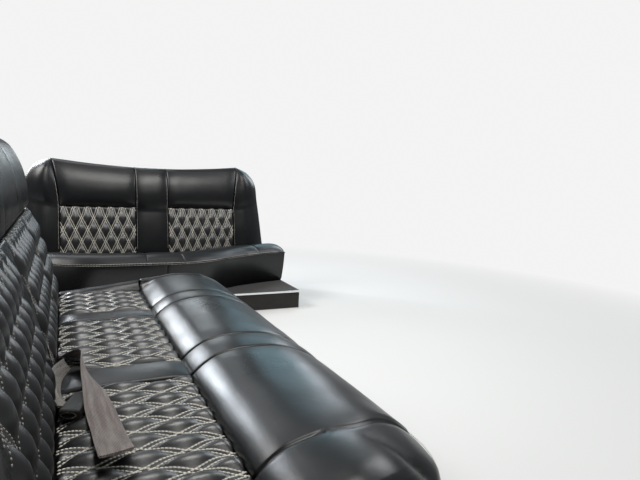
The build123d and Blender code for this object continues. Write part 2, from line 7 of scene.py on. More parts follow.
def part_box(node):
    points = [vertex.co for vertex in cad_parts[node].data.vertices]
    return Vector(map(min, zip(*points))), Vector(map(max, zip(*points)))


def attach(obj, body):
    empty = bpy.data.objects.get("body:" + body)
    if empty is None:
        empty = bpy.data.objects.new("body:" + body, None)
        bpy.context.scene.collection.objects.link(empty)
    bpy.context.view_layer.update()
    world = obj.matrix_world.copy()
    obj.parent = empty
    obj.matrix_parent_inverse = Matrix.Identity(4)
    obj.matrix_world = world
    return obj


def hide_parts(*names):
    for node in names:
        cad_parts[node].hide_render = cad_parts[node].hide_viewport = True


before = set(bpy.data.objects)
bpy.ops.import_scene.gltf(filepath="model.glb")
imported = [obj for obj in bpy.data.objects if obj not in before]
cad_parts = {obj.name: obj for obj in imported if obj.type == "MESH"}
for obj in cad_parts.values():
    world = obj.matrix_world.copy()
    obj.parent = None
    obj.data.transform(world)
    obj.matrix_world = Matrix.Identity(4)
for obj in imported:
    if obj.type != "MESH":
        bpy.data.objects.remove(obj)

bl_info = {
    "name": "Lounge seat",
    "version": (1, 0, 0),
    "blender": (4, 5, 0),
    "location": "View3D > Sidebar > Lounge seat",
    "description": "Quilted panels, rolled bolsters, carpet, trim and a lap belt for a built-in lounge seat",
    "category": "Object",
}

# Places from the frame, in metres. The wall is at the low X side and the rear bench at the high Y side.
WALL_X, RIGHT_X = (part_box("riser_rear")[i].x for i in (0, 1))
RISER_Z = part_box("riser_rear")[1].z
CREASE_X, SEAM_X = (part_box("side_seat_strap_1")[i].x for i in (0, 1))
SEAT_Z, CORE_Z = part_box("side_seat_strap_1")[1].z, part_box("side_seat_core")[1].z
NEAR_Y, FAR_Y = (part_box("side_bolster")[i].y for i in (0, 1))
FRONT_X, CROWN_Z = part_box("side_bolster")[1].x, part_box("side_bolster")[1].z
SIDE_QUILT_Z, SIDE_SHELL_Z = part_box("side_back_strap_1")[1].z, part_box("side_back_shell")[1].z
SIDE_TOP_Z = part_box("side_head_roll")[1].z
CREASE_Y, REAR_FRONT_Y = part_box("rear_seat_centre")[1].y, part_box("rear_bolster")[0].y
REAR_CORE_Z, REAR_SEAT_Z = (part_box("rear_seat_centre")[i].z for i in (0, 1))
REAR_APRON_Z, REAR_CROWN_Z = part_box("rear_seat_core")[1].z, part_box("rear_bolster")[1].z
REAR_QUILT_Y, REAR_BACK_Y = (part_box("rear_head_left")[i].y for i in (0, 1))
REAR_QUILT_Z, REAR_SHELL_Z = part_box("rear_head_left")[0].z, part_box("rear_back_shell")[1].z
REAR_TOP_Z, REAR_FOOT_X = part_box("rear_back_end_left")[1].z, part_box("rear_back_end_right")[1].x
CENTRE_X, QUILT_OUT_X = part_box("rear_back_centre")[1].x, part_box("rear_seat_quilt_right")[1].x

SIDE_QUILTS = ("quilt_1", "quilt_2", "quilt_3")
SIDE_PLAIN = ("border", "strap_1", "strap_2", "near_end")

# The fitted camera: place in metres, picture points in the 640 by 480 frame.
EYE = (-0.46, -1.89, 0.75)
PICTURE = (640, 480)
FOCAL_PX = 518.0
FAR_POINT_PX = (62.0, 161.0)
ROLL_DEG = 3.0


class QuiltSizes(bpy.types.PropertyGroup):
    """Diamond quilting."""
    diamond_width: bpy.props.FloatProperty(
        name="Diamond width", description="Across a diamond", default=0.0595, unit="LENGTH")
    seat_length: bpy.props.FloatProperty(
        name="Seat diamond", description="Along a diamond of a seat", default=0.142, unit="LENGTH")
    back_length: bpy.props.FloatProperty(
        name="Back diamond", description="Along a diamond of a back", default=0.129, unit="LENGTH")
    crown: bpy.props.FloatProperty(
        name="Crown", description="Height of a diamond over its seams", default=0.0125, unit="LENGTH")
    seam_lift: bpy.props.FloatProperty(
        name="Seam lift", description="Height of a seam halfway between two crossings", default=0.0035,
        unit="LENGTH")
    row_gap: bpy.props.FloatProperty(
        name="Row gap", description="Between the two rows of stitches of a seam", default=0.0098,
        unit="LENGTH")
    arch: bpy.props.FloatProperty(
        name="Arch", description="Reach of the rounded tops of the diamonds on the backs", default=0.05,
        unit="LENGTH")
    edge_roll: bpy.props.FloatProperty(
        name="Edge roll", description="Radius at which a panel rolls down into its seam", default=0.008,
        unit="LENGTH")


class StitchSizes(bpy.types.PropertyGroup):
    """Thread that shows."""
    length: bpy.props.FloatProperty(
        name="Stitch", description="Length of a stitch", default=0.0075, unit="LENGTH")
    pitch: bpy.props.FloatProperty(
        name="Pitch", description="From one stitch to the next", default=0.0066, unit="LENGTH")
    thread: bpy.props.FloatProperty(
        name="Thread", description="Thickness of the thread", default=0.0044, unit="LENGTH")


class RollSizes(bpy.types.PropertyGroup):
    """Plain rolls and pads."""
    seam_depth: bpy.props.FloatProperty(
        name="Seam depth", description="Depth of a cross seam", default=0.0048, unit="LENGTH")
    seam_width: bpy.props.FloatProperty(
        name="Seam width", description="Half width of a cross seam", default=0.0026, unit="LENGTH")
    puff: bpy.props.FloatProperty(
        name="Puff", description="Swell between two cross seams", default=0.0025, unit="LENGTH")
    waviness: bpy.props.FloatProperty(
        name="Waviness", description="Slow unevenness of the stuffing", default=0.0012, unit="LENGTH")


class Looks(bpy.types.PropertyGroup):
    """Colours of the finishes."""
    leather: bpy.props.FloatVectorProperty(
        name="Leather", description="Plain leather", default=(0.0042, 0.0048, 0.0058), subtype="COLOR")
    quilted: bpy.props.FloatVectorProperty(
        name="Quilted leather", description="Leather between the stitches", default=(0.0046, 0.0050, 0.0058),
        subtype="COLOR")
    thread: bpy.props.FloatVectorProperty(
        name="Thread", description="Stitching", default=(0.90, 0.86, 0.77), subtype="COLOR")
    # The side back's stitching: the cream thread darkened as painted shade, since that back lies in shade.
    shaded_side_thread: bpy.props.FloatVectorProperty(
        name="Thread with painted shade", description="Stitching of the side back", default=(0.42, 0.40, 0.36),
        subtype="COLOR")
    # Carpet: a dark pile, set darker still as painted shade for the shaded plinths and back boards.
    carpet: bpy.props.FloatVectorProperty(
        name="Carpet", description="Plinths and back boards", default=(0.020, 0.017, 0.0155), subtype="COLOR")
    webbing: bpy.props.FloatVectorProperty(
        name="Webbing", description="Lap belt", default=(0.20, 0.135, 0.115), subtype="COLOR")
    floor: bpy.props.FloatVectorProperty(
        name="Floor", description="Studio floor", default=(0.74, 0.74, 0.73), subtype="COLOR")


def arc(start, via, end, pieces=10):
    """Points of the round arc from start over via to end, without its start."""
    a, b, c = Vector(start), Vector(via), Vector(end)
    d = 2 * (a.x * (b.y - c.y) + b.x * (c.y - a.y) + c.x * (a.y - b.y))
    la, lb, lc = a.length_squared, b.length_squared, c.length_squared
    centre = Vector(((la * (b.y - c.y) + lb * (c.y - a.y) + lc * (a.y - b.y)) / d,
                     (la * (c.x - b.x) + lb * (a.x - c.x) + lc * (b.x - a.x)) / d))
    way = 1 if (b - a).cross(c - b) > 0 else -1
    first = math.atan2(*(a - centre).yx)
    turn = (math.atan2(*(c - centre).yx) - first) * way % (2 * math.pi) * way
    radius = (a - centre).length
    angles = [first + turn * i / pieces for i in range(1, pieces + 1)]
    return [centre + radius * Vector((math.cos(x), math.sin(x))) for x in angles]


class Line:
    """A flat line through points that can be walked along. Its normals point to the left."""

    def __init__(self, points):
        self.points = [Vector(p) for p in points]
        self.marks = [0.0]
        for a, b in zip(self.points, self.points[1:]):
            self.marks.append(self.marks[-1] + (b - a).length)
        sides = [(b - a).normalized() for a, b in zip(self.points, self.points[1:])]
        sides = [sides[0]] + sides + [sides[-1]]
        means = [(a + b).normalized() for a, b in zip(sides, sides[1:])]
        self.normals = [Vector((-m.y, m.x)) for m in means]
        self.length = self.marks[-1]

    def at(self, distance):
        """The point and the normal at that distance from the start."""
        i = max(0, min(len(self.marks) - 2, sum(m <= distance for m in self.marks) - 1))
        t = (distance - self.marks[i]) / (self.marks[i + 1] - self.marks[i])
        return (self.points[i].lerp(self.points[i + 1], t),
                self.normals[i].lerp(self.normals[i + 1], max(0, min(1, t))).normalized())

    def where(self, axis, value):
        """The distance at which the line first passes that value of X (0) or Y (1)."""
        for i, (a, b) in enumerate(zip(self.points, self.points[1:])):
            if (a[axis] - value) * (b[axis] - value) <= 0 and a[axis] != b[axis]:
                return self.marks[i] + (value - a[axis]) / (b[axis] - a[axis]) * (b - a).length
        raise ValueError("the line doesn't pass that value")


def rounded(corners, radii):
    """A line through the corners, with its inner corners rounded."""
    points = [Vector(corners[0])]
    for before, corner, after, radius in zip(corners, corners[1:], corners[2:], radii):
        a, b, c = Vector(before), Vector(corner), Vector(after)
        u, w = (a - b).normalized(), (c - b).normalized()
        half = u.angle(w) / 2
        reach = radius / math.tan(half)
        middle = b + (u + w).normalized() * (radius / math.sin(half) - radius)
        points.append(b + u * reach)
        points += arc(points[-1], middle, b + w * reach, 16)
    points.append(Vector(corners[-1]))
    return Line(points)


def smooth(x):
    """0 at 0 and 1 at 1, level at both ends."""
    x = max(0.0, min(1.0, x))
    return x * x * (3 - 2 * x)


def end_share(distance, reach):
    """1 at an end, and 0 from the reach on."""
    return 1 - min(1.0, distance / reach)


def fullness(distance, reach):
    """How far a pad has swollen at that distance from its seam. It is full from the reach on."""
    return 1 - end_share(distance, reach) ** 2


def beside(at, by, z):
    """The place in space that far to the left of a point of a flat line."""
    point, normal = at
    return Vector((point.x + normal.x * by, point.y + normal.y * by, z))


def roll_down(distance, radius):
    """How far a rolled edge has dropped at that distance from it."""
    if distance >= radius:
        return 0.0
    x = 1 - max(0.0, distance) / radius
    return radius * (1 - math.sqrt(max(0.0, 1 - x * x)))


def steps(start, end, step, seams=(), fan=(0.0007, 0.0018, 0.0032, 0.0052, 0.008, 0.012)):
    """Distances from start to end about a step apart, and closer together beside each seam."""
    count = max(1, round((end - start) / step))
    marks = {start + (end - start) * i / count for i in range(count + 1)}
    for seam in seams:
        marks = {m for m in marks if abs(m - seam) > fan[-1] or m in (start, end)}
        marks |= {seam + side * f for f in (0.0,) + fan for side in (-1, 1) if start < seam + side * f < end}
    return sorted(marks)


def flat_grid(columns, rows):
    """A flat grid with its columns and rows at those distances."""
    bm = bmesh.new()
    nx, ny = len(columns) - 1, len(rows) - 1
    bmesh.ops.create_grid(bm, x_segments=nx, y_segments=ny, size=0.5)
    for v in bm.verts:
        i, j = round((v.co.x + 0.5) * nx), round((v.co.y + 0.5) * ny)
        v.co = (columns[i], rows[j], 0)
    return bm


def fill_open(bm):
    """Fills the open ends or the open underside of a form."""
    bmesh.ops.holes_fill(bm, edges=[e for e in bm.edges if e.is_boundary], sides=0)


def slice_upright(bm, point, inward, clear=False):
    """Cuts a form along an upright plane, and clears what lies beyond it if asked."""
    bmesh.ops.bisect_plane(bm, geom=bm.verts[:] + bm.edges[:] + bm.faces[:], plane_co=(*point, 0),
                           plane_no=(*inward, 0), clear_inner=clear)


def loft(rings):
    """A solid through rings of as many points each, with its ends filled."""
    count = len(rings[0])
    bm = flat_grid(range(count + 1), range(len(rings)))
    for v in bm.verts:
        v.co = rings[round(v.co.y)][round(v.co.x) % count]
    bmesh.ops.remove_doubles(bm, verts=bm.verts, dist=0.00002)
    fill_open(bm)
    bmesh.ops.recalc_face_normals(bm, faces=bm.faces)
    return bm


def planes(corners):
    """The sides of a convex outline, given anticlockwise, as points and inward normals."""
    sides = []
    for a, b in zip(corners, corners[1:] + corners[:1]):
        way = (Vector(b) - Vector(a)).normalized()
        sides.append((Vector(a), Vector((-way.y, way.x))))
    return sides


def edge_distance(outline, u, v):
    """How far a point of a pad lies inside its outline."""
    return min((u - p.x) * n.x + (v - p.y) * n.y for p, n in outline)


def cut_out(bm, outline, insets):
    """Cuts flat cloth to its outline, and adds loops near its edge for the roll."""
    for point, inward in outline:
        slice_upright(bm, point, inward, clear=True)
    for point, inward in outline:
        for inset in insets:
            slice_upright(bm, point + inward * inset, inward)
    bmesh.ops.remove_doubles(bm, verts=bm.verts, dist=0.0003)


def close_under(bm, depth):
    """Takes the open edge of a flat pad straight down and fills its underside."""
    rim = [e for e in bm.edges if e.is_boundary]
    made = bmesh.ops.extrude_edge_only(bm, edges=rim)["geom"]
    for v in [g for g in made if isinstance(g, bmesh.types.BMVert)]:
        v.co.z = -depth
    fill_open(bm)


def bend_over(bm, place):
    """Lays a flat pad over a surface: place gives the point and the normal at (u, v)."""
    for v in bm.verts:
        point, normal = place(v.co.x, v.co.y)
        v.co = point + normal * v.co.z


def uneven(bm, amount, size=0.09, seed=0.0):
    """The slow unevenness of hand stuffed leather, along the normals."""
    bm.normal_update()
    moves = []
    for v in bm.verts:
        at = v.co / size + Vector((seed, seed * 0.7, -seed))
        moves.append(v.normal * amount * noise.noise(at))
    for v, move in zip(bm.verts, moves):
        v.co += move


def to_mesh(bm, name):
    """A mesh from a form, which is freed."""
    mesh = bpy.data.meshes.new(name)
    bm.to_mesh(mesh)
    bm.free()
    return mesh


def add_object(name, data):
    """A new object in the scene."""
    obj = bpy.data.objects.new(name, data)
    bpy.context.scene.collection.objects.link(obj)
    return obj


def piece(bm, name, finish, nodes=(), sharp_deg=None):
    """Makes a finished form an object of the seat, at the origin, with its place in its mesh."""
    bmesh.ops.recalc_face_normals(bm, faces=bm.faces)
    mesh = to_mesh(bm, name)
    mesh.polygons.foreach_set("use_smooth", [True] * len(mesh.polygons))
    if sharp_deg:
        mesh.set_sharp_from_angle(angle=math.radians(sharp_deg))
    mesh.materials.append(finishes()[finish])
    obj = add_object(name, mesh)
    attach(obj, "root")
    if nodes:
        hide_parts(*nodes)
    return obj


def soft_loft(rings, name, seed):
    """A padded piece through rings, in the place of the solid of that name."""
    bm = loft(rings)
    uneven(bm, bpy.context.scene.rolls.waviness, seed=seed)
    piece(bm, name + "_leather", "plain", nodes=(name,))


def repaint(node, finish):
    """Gives its finish to a solid that is shown without a form of its own."""
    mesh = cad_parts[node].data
    mesh.materials.clear()
    mesh.materials.append(finishes()[finish])


# Stitching. A row's thread lies that far over the leather.
THREAD_LIFT = 0.0003


def stitch_form():
    """One stitch as a small mesh, along X, a metre long and thick."""
    bm = bmesh.new()
    bmesh.ops.create_icosphere(bm, subdivisions=1, radius=0.5)
    return to_mesh(bm, "stitch_form")


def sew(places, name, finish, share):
    """One mesh of stitches at a share of full size. A place has a middle, a way along the row and a normal."""
    form = stitch_form()
    bm = bmesh.new()
    stitch = bpy.context.scene.stitch
    thick = stitch.thread
    scale = Matrix.Diagonal((stitch.length * max(0.6, share), thick * share, thick * 0.9 * share, 1))
    for middle, way, normal in places:
        across = normal.cross(way).normalized()
        up = way.cross(across).normalized()
        turn = Matrix((way, across, up)).transposed().to_4x4()
        one = form.copy()
        one.transform(Matrix.Translation(middle) @ turn @ scale)
        bm.from_mesh(one)
        bpy.data.meshes.remove(one)
    bpy.data.meshes.remove(form)
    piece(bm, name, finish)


def row_places(line_at, length):
    """Places of the stitches of one row. line_at gives the point and the normal at a distance."""
    places = []
    stitch = bpy.context.scene.stitch
    count = int(length / stitch.pitch)
    for i in range(count):
        middle = (i + 0.5) * stitch.pitch + (length - count * stitch.pitch) / 2
        point, normal = line_at(middle)
        ahead = line_at(middle + stitch.length / 2)[0]
        behind = line_at(middle - stitch.length / 2)[0]
        places.append((point + normal * THREAD_LIFT, (ahead - behind).normalized(), normal))
    return places


# Quilted panels.

# Where the mesh has a line between one seam of the quilting and halfway to the next, as shares of a cell.
HALF_CELL = (0.0, 0.04, 0.071, 0.10, 0.15, 0.23, 0.35, 0.5)
CELL = HALF_CELL + tuple(1 - x for x in HALF_CELL[-2:0:-1])
# Bare cloth beside a row, and the height of the small hump between the two rows of a seam.
ROW_MARGIN, ROW_HUMP = 0.0012, 0.0012
# How full the sides and the tops of the diamonds are, and how far in from a panel's edge they grow lower.
FULL_SIDES, FULL_TOPS, EDGE_REACH = 2.3, 0.85, 0.022
# Rows end that far from a panel's edge, and quilting thread lies that far over the cloth.
ROW_END, QUILT_THREAD_LIFT = 0.004, 0.0004
# The stitches at either side of an arch's peak: half their distance, and how far under the panel's top.
PEAK_GAP, PEAK_DROP = 0.0033, 0.0025
# How far ahead a row's way is looked for: along a seam as a share of a cell, and at a peak in metres.
AHEAD, PEAK_AHEAD = 0.02, 0.002


class Diamonds:
    """The lattice of a quilted panel: where its seams run, and how high the cloth stands between them.

    The seams lie where s or t is a whole number. On a back, the seams that meet at the top edge form arches.
    """

    def __init__(self, sizes, outline, length, corner, arched):
        self.sizes, self.outline, self.corner, self.arched = sizes, outline, corner, arched
        self.width, self.length = sizes.diamond_width, length
        self.cell = 1 / math.hypot(1 / self.width, 1 / self.length)

    def bent(self, v):
        """How far along the straight lattice a point of the bent one lies."""
        x = v / self.sizes.arch
        if not self.arched or not 0 < x < 1:
            return v
        return v + 0.9 * self.sizes.arch * math.sqrt(x) * (1 - x) ** 2

    def unbent(self, along):
        """The point of the bent lattice that lies that far along the straight one."""
        if not self.arched or not 0 < along < self.sizes.arch:
            return along
        low, high = 0.0, self.sizes.arch
        for _ in range(24):
            middle = (low + high) / 2
            low, high = (middle, high) if self.bent(middle) < along else (low, middle)
        return low

    def lattice(self, u, v):
        """The lattice's s and t at a point of the panel."""
        across, along = (u - self.corner[0]) / self.width, self.bent(v - self.corner[1]) / self.length
        if self.arched:
            along = max(0.0, along)
        return across + along, across - along

    def flat(self, s, t):
        """The point of the panel at the lattice's s and t."""
        return (self.corner[0] + (s + t) / 2 * self.width,
                self.corner[1] + self.unbent((s - t) / 2 * self.length))

    def height(self, u, v):
        """Height of the cloth over the surface that the panel lies on."""
        s, t = self.lattice(u, v)
        band = self.sizes.row_gap / 2 + ROW_MARGIN
        rise, hump = 1.0, 0.0
        for x in (s, t):
            away = abs(x - round(x)) * self.cell
            if away < band:
                rise = 0.0
                hump = max(hump, ROW_HUMP * (1 - (away / band) ** 2))
            else:
                rise *= 1 - (1 - (away - band) / (self.cell / 2 - band)) ** FULL_SIDES
        a, b = math.sin(math.pi * s) ** 2, math.sin(math.pi * t) ** 2
        inside = edge_distance(self.outline, u, v)
        top = self.sizes.crown * rise ** FULL_TOPS + hump + self.sizes.seam_lift * (a + b - a * b)
        return top * smooth(inside / EDGE_REACH + 0.25) - roll_down(inside, self.sizes.edge_roll)

    def span(self):
        """The lowest and highest whole number that the lattice needs for its outline."""
        ends = [x for p, _ in self.outline for x in self.lattice(p.x, p.y)]
        if self.arched:
            ends += [x - 1 for x in ends]
        return math.floor(min(ends)) - 1, math.ceil(max(ends)) + 1


def quilt_cloth(diamonds):
    """Flat quilted cloth, cut to its outline and raised between its seams."""
    low, high = diamonds.span()
    n = len(CELL)
    bm = flat_grid(*[[low + i // n + CELL[i % n] for i in range((high - low) * n + 1)]] * 2)
    for v in bm.verts:
        v.co = (*diamonds.flat(v.co.x, v.co.y), 0)
    cut_out(bm, diamonds.outline, [diamonds.sizes.edge_roll * x for x in (0.12, 0.35, 0.65, 1.0)])
    for v in bm.verts:
        v.co.z = diamonds.height(v.co.x, v.co.y)
    return bm


def quilt_rows(diamonds, place):
    """Places of the double rows of stitches along the seams of a quilted panel."""
    low, high = diamonds.span()
    half = diamonds.sizes.row_gap / 2 / diamonds.cell
    pitch = bpy.context.scene.stitch.pitch

    def on_cloth(u, v):
        point, normal = place(u, v)
        return point + normal * (diamonds.height(u, v) + QUILT_THREAD_LIFT), normal

    def stitch_at(here, ahead):
        point, normal = on_cloth(*here)
        places.append((point, (on_cloth(*ahead)[0] - point).normalized(), normal))

    places = []
    for across in (False, True):
        for k in range(low, high + 1):
            for fixed in (k - half, k + half):
                run = float(low)
                while run < high:
                    at = [diamonds.flat(*((r, fixed) if across else (fixed, r))) for r in (run, run + AHEAD)]
                    above = diamonds.arched and at[0][1] < diamonds.corner[1]
                    if edge_distance(diamonds.outline, *at[0]) > ROW_END and not above:
                        stitch_at(*at)
                    run += pitch / (math.dist(*at) / AHEAD)
            peak = diamonds.corner[0] + k * diamonds.width
            if diamonds.arched and not across and edge_distance(diamonds.outline, peak, 0.03) > 0.01:
                v = diamonds.corner[1] + PEAK_DROP
                for u in (peak - PEAK_GAP, peak + PEAK_GAP):
                    stitch_at((u, v), (u + PEAK_AHEAD, v))
    return places


def quilted_panel(name, outline, corner, place, depth, length, arched=False, thread="thread"):
    """A quilted pad and its stitches, laid over a surface."""
    diamonds = Diamonds(bpy.context.scene.quilt, outline, length, corner, arched)
    bm = quilt_cloth(diamonds)
    close_under(bm, depth)
    bend_over(bm, place)
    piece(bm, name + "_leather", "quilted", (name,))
    sew(quilt_rows(diamonds, place), name + "_stitches", thread, share=0.6 if thread == "shade_painted_thread" else 1.0)


# A plain pad's swell, how far in from its edge it is full, and the radius of its edge.
PAD_CROWN, PAD_REACH, PAD_ROLL = 0.004, 0.05, 0.007
# Distance of the mesh lines of plain pads and of the side bolster.
MESH_STEP = 0.012


def plain_panel(name, outline, place, depth, seed, lowest=0.0):
    """A plain pad laid over a surface, with nothing of it under the lowest height."""
    ranges = [(min(c), max(c)) for c in zip(*(p for p, _ in outline))]
    bm = flat_grid(*(steps(*ends, MESH_STEP) for ends in ranges))
    cut_out(bm, outline, [PAD_ROLL * x for x in (0.08, 0.25, 0.5, 0.75, 1.0)])
    for v in bm.verts:
        inside = edge_distance(outline, v.co.x, v.co.y)
        v.co.z = PAD_CROWN * fullness(inside, PAD_REACH) - roll_down(inside, PAD_ROLL)
    close_under(bm, depth)
    bend_over(bm, place)
    for v in bm.verts:
        v.co.z = max(v.co.z, lowest)
    uneven(bm, bpy.context.scene.rolls.waviness * 0.6, seed=seed)
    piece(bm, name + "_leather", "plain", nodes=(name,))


def rectangle(width, length):
    """The outline of a rectangular pad."""
    return planes([(0, 0), (width, 0), (width, length), (0, length)])


# Materials.

def group_tree(name, inputs, outputs):
    """An empty shader node group with those number inputs and those outputs."""
    tree = bpy.data.node_groups.new(name, "ShaderNodeTree")
    for label, value in inputs:
        socket = tree.interface.new_socket(name=label, in_out="INPUT", socket_type="NodeSocketFloat")
        socket.default_value = value
    for label, kind in outputs:
        tree.interface.new_socket(name=label, in_out="OUTPUT", socket_type=kind)
    return tree, tree.nodes.new("NodeGroupInput"), tree.nodes.new("NodeGroupOutput")


def math_node(tree, operation, *operands):
    """A math node whose two operands are sockets or numbers, as its output."""
    node = tree.nodes.new("ShaderNodeMath")
    node.operation = operation
    for socket, value in zip(node.inputs, operands):
        if isinstance(value, bpy.types.NodeSocket):
            tree.links.new(value, socket)
        else:
            socket.default_value = value
    return node.outputs[0]


def times(tree, a, b):
    """The product of two sockets or numbers."""
    return math_node(tree, "MULTIPLY", a, b)


def set_inputs(node, **values):
    """Sets inputs of a node by their names, with _ for a space."""
    for label, value in values.items():
        node.inputs[label.replace("_", " ")].default_value = value


def object_place(tree):
    """Where a point lies in its object, for textures."""
    return tree.nodes.new("ShaderNodeTexCoord").outputs["Object"]


def noise_node(tree, vector, scale, detail=2.0, roughness=0.5):
    """A noise texture on a vector, as its value output."""
    node = tree.nodes.new("ShaderNodeTexNoise")
    set_inputs(node, Scale=scale, Detail=detail, Roughness=roughness)
    tree.links.new(vector, node.inputs["Vector"])
    return node.outputs["Fac"]


def leather_grain_group():
    """Pebbled grain, fine pores and slow creases of coated leather, as a height and two masks."""
    tree, source, out = group_tree(
        "leather_grain", (("Grain Size", 0.0016), ("Grain", 1.0), ("Creases", 1.0)),
        (("Height", "NodeSocketFloat"), ("Wear", "NodeSocketFloat"), ("Cloud", "NodeSocketFloat")))
    place = object_place(tree)
    scale = math_node(tree, "DIVIDE", 1.0, source.outputs["Grain Size"])
    cells = tree.nodes.new("ShaderNodeTexVoronoi")
    cells.feature = "SMOOTH_F1"
    set_inputs(cells, Smoothness=0.4)
    tree.links.new(place, cells.inputs["Vector"])
    tree.links.new(scale, cells.inputs["Scale"])
    pebbles = times(tree, math_node(tree, "SUBTRACT", 0.8, cells.outputs["Distance"]), 0.00005)
    pores = times(tree, noise_node(tree, place, 2200.0), 0.00002)
    grain = times(tree, math_node(tree, "ADD", pebbles, pores), source.outputs["Grain"])
    slow = times(tree, noise_node(tree, place, 17.0, 3.0), 0.0005)
    fine = times(tree, noise_node(tree, place, 70.0, 3.0, 0.6), 0.00012)
    creases = times(tree, math_node(tree, "ADD", slow, fine), source.outputs["Creases"])
    tree.links.new(math_node(tree, "ADD", grain, creases), out.inputs["Height"])
    tree.links.new(noise_node(tree, place, 38.0, 5.0, 0.65), out.inputs["Wear"])
    tree.links.new(noise_node(tree, place, 6.0, 2.0), out.inputs["Cloud"])
    return tree


def add_group(tree, group, **values):
    """A group's node with its inputs set."""
    node = tree.nodes.new("ShaderNodeGroup")
    node.node_tree = group
    set_inputs(node, **values)
    return node


def new_material(name):
    """A material with its tree and its shader."""
    material = bpy.data.materials.new(name)
    material.use_nodes = True
    return material, material.node_tree, material.node_tree.nodes["Principled BSDF"]


def blend_colours(tree, mask, low, high):
    """A colour that goes from low to high with a mask."""
    node = tree.nodes.new("ShaderNodeMix")
    node.data_type = "RGBA"
    tree.links.new(mask, node.inputs["Factor"])
    set_inputs(node, A=(*low, 1), B=(*high, 1))
    return node.outputs["Result"]


def map_range(tree, value, low, high, to_low, to_high):
    """A value moved from one range into another."""
    node = tree.nodes.new("ShaderNodeMapRange")
    tree.links.new(value, node.inputs["Value"])
    set_inputs(node, From_Min=low, From_Max=high, To_Min=to_low, To_Max=to_high)
    return node.outputs["Result"]


def bump(tree, shader, height):
    """Feeds a height in metres to the shader's normal."""
    node = tree.nodes.new("ShaderNodeBump")
    set_inputs(node, Strength=1.0, Distance=1.0)
    tree.links.new(height, node.inputs["Height"])
    tree.links.new(node.outputs["Normal"], shader.inputs["Normal"])


def leather(name, group, colour, rough, grain, creases, shine):
    """Black coated leather with a satin shine."""
    material, tree, shader = new_material(name)
    skin = add_group(tree, group, Grain_Size=0.0017, Grain=grain, Creases=creases)
    worn = [c * 1.7 + 0.0015 for c in colour]
    wear = map_range(tree, skin.outputs["Wear"], 0.45, 0.8, 0.0, 0.7)
    tree.links.new(blend_colours(tree, wear, colour, worn), shader.inputs["Base Color"])
    tree.links.new(map_range(tree, skin.outputs["Cloud"], 0.3, 0.7, rough - 0.04, rough + 0.05),
                   shader.inputs["Roughness"])
    set_inputs(shader, Specular_IOR_Level=shine)
    bump(tree, shader, skin.outputs["Height"])
    return material


def thread_material(name, colour):
    """Waxed thread with a twist."""
    material, tree, shader = new_material(name)
    place = object_place(tree)
    fibres = noise_node(tree, place, 900.0, 3.0, 0.7)
    soil = map_range(tree, noise_node(tree, place, 9.0, 3.0), 0.3, 0.6, 0.8, 1.0)
    dark = [c * 0.62 for c in colour]
    mask = times(tree, map_range(tree, fibres, 0.3, 0.7, 0.35, 1.0), soil)
    tree.links.new(blend_colours(tree, mask, dark, colour), shader.inputs["Base Color"])
    set_inputs(shader, Roughness=0.55)
    bump(tree, shader, times(tree, fibres, 0.0003))
    return material


def carpet_material(colour):
    """Short dark cut pile, its colour also darkened as painted shade."""
    material, tree, shader = new_material("cut_pile_carpet")
    place = object_place(tree)
    tufts = noise_node(tree, place, 420.0, 4.0, 0.75)
    patches = noise_node(tree, place, 14.0, 3.0)
    mask = math_node(tree, "ADD", map_range(tree, tufts, 0.35, 0.7, 0.0, 0.7),
                     map_range(tree, patches, 0.3, 0.7, 0.0, 0.3))
    tree.links.new(blend_colours(tree, mask, [c * 0.35 for c in colour], [c * 1.9 for c in colour]),
                   shader.inputs["Base Color"])
    set_inputs(shader, Roughness=0.95, Sheen_Weight=0.25, Sheen_Roughness=0.5)
    bump(tree, shader, times(tree, tufts, 0.004))
    return material


def webbing_material(name, colour, worn):
    """Polyester webbing: fine ribs along its length, and long pale streaks along it, where it is also less
    rough.
    """
    material, tree, shader = new_material(name)
    uv = tree.nodes.new("ShaderNodeUVMap")
    uv.uv_map = "weave"
    waves = []
    for scale, direction in ((150.0, "X"), (420.0, "Y")):
        wave = tree.nodes.new("ShaderNodeTexWave")
        wave.bands_direction = direction
        set_inputs(wave, Scale=scale, Distortion=0.4)
        tree.links.new(uv.outputs["UV"], wave.inputs["Vector"])
        waves.append(wave.outputs["Fac"])
    weave = times(tree, waves[0], math_node(tree, "ADD", waves[1], 0.6))
    stretch = tree.nodes.new("ShaderNodeMapping")
    set_inputs(stretch, Scale=(1.0, 0.09, 1.0))
    tree.links.new(uv.outputs["UV"], stretch.inputs["Vector"])
    streaks = noise_node(tree, stretch.outputs["Vector"], 110.0, 5.0, 0.6)
    # worn is the colour of the long pale streaks, which are also less rough.
    tone = math_node(tree, "ADD", times(tree, weave, 0.35), map_range(tree, streaks, 0.42, 0.66, 0.0, 0.65))
    tree.links.new(blend_colours(tree, tone, [c * 0.55 for c in colour], worn), shader.inputs["Base Color"])
    tree.links.new(map_range(tree, streaks, 0.4, 0.7, 0.5, 0.34), shader.inputs["Roughness"])
    set_inputs(shader, Sheen_Weight=0.3)
    bump(tree, shader, times(tree, weave, 0.0005))
    return material


def hard_material(name, colour, metal, rough, wear):
    """Moulded plastic or bright metal with fine handling marks."""
    material, tree, shader = new_material(name)
    place = object_place(tree)
    marks = noise_node(tree, place, 160.0, 6.0, 0.7)
    worn = [min(1, c * 1.5 + 0.02) for c in colour]
    tree.links.new(blend_colours(tree, map_range(tree, marks, 0.5, 0.8, 0.0, wear), colour, worn),
                   shader.inputs["Base Color"])
    tree.links.new(map_range(tree, marks, 0.3, 0.7, rough, rough + 0.12), shader.inputs["Roughness"])
    set_inputs(shader, Metallic=metal)
    bump(tree, shader, times(tree, marks, 0.00006))
    return material


